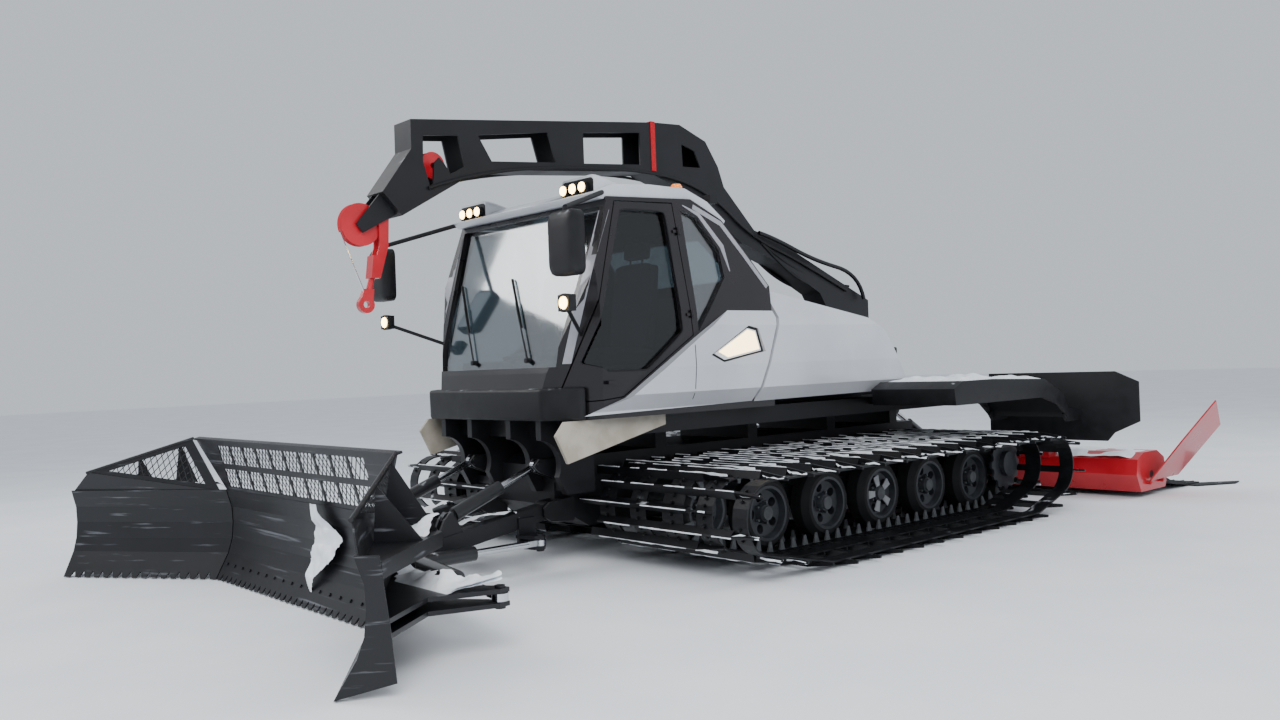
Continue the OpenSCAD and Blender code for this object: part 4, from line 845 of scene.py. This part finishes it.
def addTrim(name, node, edges, way, finish, thick=0.004, cuts=6):  # a strip between two lines, laid on a node
    lines = []
    for line in edges:
        points = []
        for a, b in zip(line, line[1:]):
            points += [Vector(a) + (Vector(b) - Vector(a)) * k / cuts for k in range(cuts)]
        points.append(Vector(line[-1]))
        lines.append([touch(node, p, way) for p in points])
    shape = Shape()
    for i in range(len(lines[0]) - 1):
        four = [lines[0][i], lines[0][i + 1], lines[1][i + 1], lines[1][i]]
        if any(spot is None for spot, _ in four):
            continue
        top = [spot + normal * thick for spot, normal in four]
        low = [spot - normal * 0.002 for spot, normal in four]
        shape.add(top + low, [(0, 1, 2, 3), (7, 6, 5, 4), (0, 4, 5, 1), (1, 5, 6, 2), (2, 6, 7, 3), (3, 7, 4, 0)])
    if shape.faces:
        shape.piece(name, finish, "machine")


# Silver strips on the cab's frame, one of them a painted highlight, the seals about its doors and the seam of the front
# body panel
strips = {  # two lines of x and z each
    "rearEdge": (
        ((1.36, 2.700), (1.064, 2.585), (0.840, 2.360), (0.580, 2.085)),
        ((1.375, 2.665), (1.083, 2.550), (0.866, 2.332), (0.606, 2.060)),
    ),
    # painted highlight: a silver wedge at the quarter window's rear, where a highlight falls on the black frame
    "highlightWedge": (
        ((1.478, 2.690), (1.300, 2.635), (1.062, 2.395), (1.012, 2.190)),
        ((1.474, 2.680), (1.322, 2.612), (1.100, 2.372), (1.020, 2.188)),
    ),
}
frontPillar = (((2.565, 0.800, 1.50), (2.262, 0.905, 2.60)), ((2.523, 0.850, 1.50), (2.222, 0.968, 2.60)))
seal = {
    "corners": ((1.950, 1.440), (2.330, 1.446), (2.480, 1.500), (2.115, 2.610), (1.670, 2.618), (1.570, 1.720)),
    "grow": 1.012,
    "radius": 0.006,
}
seam = {"line": ((1.512, 1.610), (1.533, 1.201)), "wide": 0.006, "thick": 0.0015}
away = 3  # y from which strips are cast onto the machine's side
for side, sign in sides:
    inward = (0, -sign, 0)
    for label, lines in strips.items():
        edges = [[(x, sign * away, z) for x, z in line] for line in lines]
        addTrim(label + "_" + side, "cab_frame", edges, inward, trimSilver)
    edges = [[(x + 0.7, sign * (y + 0.7), z) for x, y, z in line] for line in frontPillar]
    slant = Vector((-1, -sign, 0)).normalized()
    addTrim("frontPillar_" + side, "cab_frame", edges, slant, trimSilver, cuts=12)
    corners = [Vector(p) for p in seal["corners"]]
    middle = sum(corners, Vector((0, 0))) / len(corners)
    wide = [middle + (p - middle) * seal["grow"] for p in corners]
    found = [touch("door_" + side, (p.x, sign * away, p.y), inward)[0] for p in wide]
    ring = []
    for a, b in zip(found, found[1:] + found[:1]):
        ring += [a + (b - a) * 0.04, a + (b - a) * 0.5, a + (b - a) * 0.96]
    addHose("doorSeal_" + side, ring, seal["radius"], hoseRubber, "door_" + side, 2, loop=True)
for side, sign in sides:
    edges = [[(x + s, sign * away, z) for x, z in seam["line"]] for s in (0, seam["wide"])]
    addTrim("panelSeam_" + side, "side_panels", edges, (0, -sign, 0), blackAbs, seam["thick"], 10)


# Seats: sprung cushions and headrests on pedestals
def addCushion(name, middle, size, turn, crown, fill):  # a sewn foam pad with two seams across it
    shape, count, index = Shape(), (14, 14, 5), {}
    for i in range(count[0] + 1):
        for j in range(count[1] + 1):
            for k in range(count[2] + 1):
                if 0 < i < count[0] and 0 < j < count[1] and 0 < k < count[2]:
                    continue
                u, v, w = (2 * n / c - 1 for n, c in zip((i, j, k), count))
                full = (1 - u**4) * (1 - v**4)
                seam = 0.012 * (math.exp(-((abs(v) - 0.52) ** 2) / 0.002) + 0.5 * math.exp(-((u + 0.15) ** 2) / 0.003))
                soft = 1 - 0.035 * (1 - w * w)
                x = u * size[0] / 2 * (1 - 0.05 * v * v * abs(v)) * soft  # sides pull in between the corners
                y = v * size[1] / 2 * (1 - 0.05 * u * u * abs(u)) * soft
                z = w * size[2] / 2 * (0.72 + 0.28 * full) + (crown * full - seam * full if w > 0.9 else 0)
                index[i, j, k] = len(shape.points)
                shape.points.append(tuple(Vector(middle) + turn @ Vector((x, y, z))))
    for axis in range(3):
        a, b = [n for n in range(3) if n != axis]
        for end in (0, count[axis]):
            for i in range(count[a]):
                for j in range(count[b]):
                    ring = []
                    for di, dj in ((0, 0), (1, 0), (1, 1), (0, 1)):
                        key = [0, 0, 0]
                        key[axis], key[a], key[b] = end, i + di, j + dj
                        ring.append(index[tuple(key)])
                    shape.faces.append(ring)
    pad = shape.piece(name, seatCloth, "machine", smooth=True)
    refine(pad)
    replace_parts(pad, "seats")


flatTurn = Matrix.Identity(3)
backTurn = Matrix.Rotation(math.radians(-90 - 8.1), 3, "Y")
pads = {  # x and z of its middle, size, turn, crown, fill
    "seatCushion_": (1.810, 1.540, (0.50, 0.50, 0.12), flatTurn, 0.02, 0.8),
    "seatBack_": (1.585, 1.930, (0.70, 0.46, 0.11), backTurn, 0.02, 0.8),
    "headrest_": (1.530, 2.375, (0.13, 0.26, 0.08), backTurn, 0.008, 0.9),
}
seat = {
    "x": 1.810,
    "y": 0.48,
    "floor": 1.115,
    "post": (1.46, 0.09, 0.075),  # top, lower and upper radius
    "foot": (1.135, 0.15),
    "pan": ((1.60, 1.455), (2.02, 1.482), 0.21),  # low and high corner in x and z, half width
    "stalks": ((1.545, 2.25), (1.535, 2.36), 0.07),
    "stalkRadius": 0.008,
}
for side, sign in sides:
    y = sign * seat["y"]
    for label, (x, z, size, turn, crown, fill) in pads.items():
        addCushion(label + side, (x, y, z), size, turn, crown, fill)
    base = Shape()
    top, lower, upper = seat["post"]
    base.tube((seat["x"], y, seat["floor"]), (seat["x"], y, top), lower, 32, upper)
    top, wide = seat["foot"]
    base.tube((seat["x"], y, seat["floor"]), (seat["x"], y, top), wide, 32)
    (x0, z0), (x1, z1), half = seat["pan"]
    base.box((x0, y - half, z0), (x1, y + half, z1))
    (x0, z0), (x1, z1), half = seat["stalks"]
    for k in (-half, half):
        base.tube((x0, y + k, z0), (x1, y + k, z1), seat["stalkRadius"], 12)
    stand = base.piece("seatStand_" + side, castGrey, "machine")
    if side == "left":
        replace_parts(stand, "seats")

# Driver's place: steering wheel, display and arm console
steering = {
    "middle": Vector((2.16, 0.48, 1.70)),
    "axis": Vector((0.62, 0, -0.78)).normalized(),
    "radius": 0.19,
    "grip": 0.014,
    "hub": 0.02,
    "foot": (2.34, 0.48, 1.475),
    "column": (0.028, 0.035),
    "spoke": (0.012, 0.009),
}
cockpit = {  # corners of boxes; ends, radius, count of sides and end radius of tubes
    "display": ((2.24, -0.06, 1.56), (2.27, 0.16, 1.74)),
    "displayStalk": ((2.27, 0.05, 1.60), (2.36, 0.05, 1.53), 0.012),
    "console": ((1.58, 0.06, 1.50), (1.98, 0.16, 1.62)),
    "joystick": ((1.92, 0.11, 1.61), (1.93, 0.11, 1.75), 0.013, 10, 0.020),
}
flat = steering["axis"].to_track_quat("Z", "Y")
angles = [k * math.pi / 8 for k in range(16)]
ring = [Vector((steering["radius"] * math.cos(a), steering["radius"] * math.sin(a), 0)) for a in angles]
rim = [steering["middle"] + flat @ p for p in ring]
addHose("steeringRim", rim, steering["grip"], hoseRubber, "machine", 3, loop=True)
controls = Shape()
hub = steering["middle"] + steering["axis"] * steering["hub"]
controls.tube(hub, steering["foot"], steering["column"][0], 16, steering["column"][1])
for k in range(3):
    controls.tube(hub, rim[(2 + 5 * k) % 16], steering["spoke"][0], 8, steering["spoke"][1])
controls.box(*cockpit["display"])
controls.tube(*cockpit["displayStalk"], 10)
controls.box(*cockpit["console"])
controls.tube(*cockpit["joystick"])
controls.piece("steeringColumn", blackAbs, "machine")
print("cab dressed")

# Body: black strips on the beige skirts, and the ribs of the finisher behind the tiller
skirtStrip = {"wide": 0.022, "lines": (((2.755, 1.280), (2.687, 1.130)), ((2.40, 1.13), (2.112, 1.258)))}
for side, sign in sides:
    for k, line in enumerate(skirtStrip["lines"]):
        edges = [[(x + s, sign * away, z) for x, z in line] for s in (0, skirtStrip["wide"])]
        addTrim("skirtStrip%d_%s" % (k, side), "skirts", edges, (0, -sign, 0), blackAbs)
rib = {
    "line": ((-3.925, 0.150), (-4.120, 0.082), (-4.510, 0.024), (-4.740, 0.020)),  # x and z
    "pitch": 0.1,
    "perSide": 22,
    "half": 0.012,
    "sink": 0.003,
    "height": (0.016, 0.010),
}
ribs = Shape()
for k in range(-rib["perSide"], rib["perSide"] + 1):
    y = k * rib["pitch"]
    for ends in zip(rib["line"], rib["line"][1:]):
        points = []
        for (x, z), height in zip(ends, rib["height"]):
            foot = z - rib["sink"]
            points += [(x, y - rib["half"], foot), (x, y + rib["half"], foot), (x, y, z + height)]
        ribs.add(points, [(0, 1, 2), (3, 5, 4), (0, 3, 4, 1), (1, 4, 5, 2), (2, 5, 3, 0)])
ribs.piece("finisherRibs", finisherRubber, "tiller")


# Snow that lies on the machine
def above(node, height=3.0):  # only faces that look up hold snow
    def onto(u, v):
        spot, normal = touch(node, (u, v, height), (0, 0, -1))
        return (spot, normal) if spot and normal.z > 0.8 else (None, None)

    return onto


snow = {  # x, y, height that it falls from, depth, cover
    "fender": ((-2.80, -0.80), (1.16, 1.93), 1.6, 0.05, 0.35),
    "wingShelf": ((3.25, 4.38), (1.25, 2.40), 0.645, 0.075, 0.75),
    "wingFoot": ((3.25, 4.38), (1.25, 2.40), 0.50, 0.05, 0.75),
}
for side, sign in sides:
    for label, (xs, ys, height, thick, cover) in snow.items():
        node, body, seed = ("fenders", "machine", 3) if label == "fender" else ("wing_" + side, "wing_" + side, 11)
        low, high = zip(xs, sorted((sign * ys[0], sign * ys[1])))
        addSnow(label + "Snow_" + side, low, high, above(node, height), thick, body, seed + sign, cover)
addSnow("hoodSnow", (-3.95, -2.2), (-3.12, 2.2), above("tiller_hood"), 0.035, "tiller", 21, 0.2, 0.04)
addSnow("pushSnow", (2.75, -1.1), (3.95, 1.1), above("push_frame"), 0.05, "push_frame", 31, 0.6)
addSnow("headSnow", (3.6, -1.0), (4.25, 1.0), above("swing_head"), 0.05, "swing_head", 37, 0.5)

# Blade: snow that froze to its face, and the bolts of its cutting edge
clump = (  # height, middle and half width of its outline
    (0.10, 0.30, 0.02),
    (0.17, 0.29, 0.07),
    (0.30, 0.38, 0.15),
    (0.46, 0.45, 0.18),
    (0.60, 0.40, 0.10),
    (0.78, 0.35, 0.03),
)


def onBlade(y, z):
    return touch("blade", (5.0, y, z), (-1, 0, 0))


def againstBlade(y, z):
    for (z0, y0, half0), (z1, y1, half1) in zip(clump, clump[1:]):
        if z0 <= z <= z1:
            share = (z - z0) / (z1 - z0)
            if abs(y - y0 - (y1 - y0) * share) < half0 + (half1 - half0) * share:
                return onBlade(y, z)
    return None, None


addSnow("bladeSnow", (0.10, 0.10), (0.66, 0.78), againstBlade, 0.04, "blade", 41, 1.2, 0.011)
edgeBolt = {"perSide": 8, "pitch": 0.14, "z": 0.115, "sink": 0.002, "height": 0.010, "radius": (0.013, 0.011)}
edgeBolts = Shape()
for k in range(-edgeBolt["perSide"], edgeBolt["perSide"] + 1):
    spot, normal = onBlade(k * edgeBolt["pitch"], edgeBolt["z"])
    if spot:
        low, high = spot - normal * edgeBolt["sink"], spot + normal * edgeBolt["height"]
        edgeBolts.tube(low, high, edgeBolt["radius"][0], 6, edgeBolt["radius"][1])
edgeBolts.piece("edgeBolts", bladeBlack, "blade")

# Boom's rear: a tube above each flank and the hoses that hang between them
mast = {
    "line": ((-0.267, 2.66), (-0.475, 2.623), (-1.052, 2.433), (-1.763, 2.324), (-1.831, 2.067)),  # x and z
    "y": 0.175,
    "radius": 0.02,
    "start": (-0.35, 0.7, 2.58),  # ends of the hoses: x, share of y, z
    "end": (-1.70, 0.5, 2.20),
    "sags": (0.10, 0.19),
    "hoseRadius": 0.013,
}
for side, sign in sides:
    y = sign * mast["y"]
    addHose("mastTube_" + side, [(x, y, z) for x, z in mast["line"]], mast["radius"], frameBlack, "boom")
    start, end = (Vector((x, y * share, z)) for x, share, z in (mast["start"], mast["end"]))
    for k, sag in enumerate(mast["sags"]):
        line = [start.lerp(end, t / 5) - Vector((0, 0, 4 * sag * t / 5 * (1 - t / 5))) for t in range(6)]
        addHose("mastHose%d_%s" % (k, side), line, mast["hoseRadius"], hoseRubber, "boom", 3)
print("body dressed")

# Stage: pale floor, soft studio light
stage = {"half": 60, "drop": 0.002, "floor": ("#f0f3f7", "#eaeef3"), "world": "#d5dbe3", "strength": 1.0}
lights = (  # name, place, aim, size, power, seen in gloss
    ("keyLight", (9, 9, 8), (1, 0, 1), 8, 1300, False),
    ("skyPanel", (7.4, -6.1, 8.0), (2.4, 0, 2.1), 5, 420, True),  # the bright sky in the windscreen
    ("rimLight", (-9, 8, 8), (-1, 0, 1), 7, 600, False),
)


def makeStage():
    mesh = bpy.data.meshes.new("floor")
    corners = [(x * stage["half"], y * stage["half"], -stage["drop"]) for x, y in ((-1, -1), (1, -1), (1, 1), (-1, 1))]
    mesh.from_pydata(corners, [], [(0, 1, 2, 3)])
    mesh.materials.append(surface("studioFloor", *stage["floor"], 0.75, 900))
    floor = bpy.data.objects.new("floor", mesh)
    bpy.context.scene.collection.objects.link(floor)
    world = bpy.data.worlds.new("studio")
    bpy.context.scene.world = world
    world.use_nodes = True
    world.node_tree.nodes["Background"].inputs["Color"].default_value = linear(stage["world"])
    world.node_tree.nodes["Background"].inputs["Strength"].default_value = stage["strength"]
    for name, place, aim, size, power, mirrored in lights:
        data = bpy.data.lights.new(name, "AREA")
        data.size = size
        data.energy = power
        light = bpy.data.objects.new(name, data)
        light.location = place
        light.rotation_euler = (Vector(aim) - Vector(place)).to_track_quat("-Z", "Y").to_euler()
        light.visible_glossy = mirrored
        bpy.context.scene.collection.objects.link(light)


makeStage()
print("stage set")
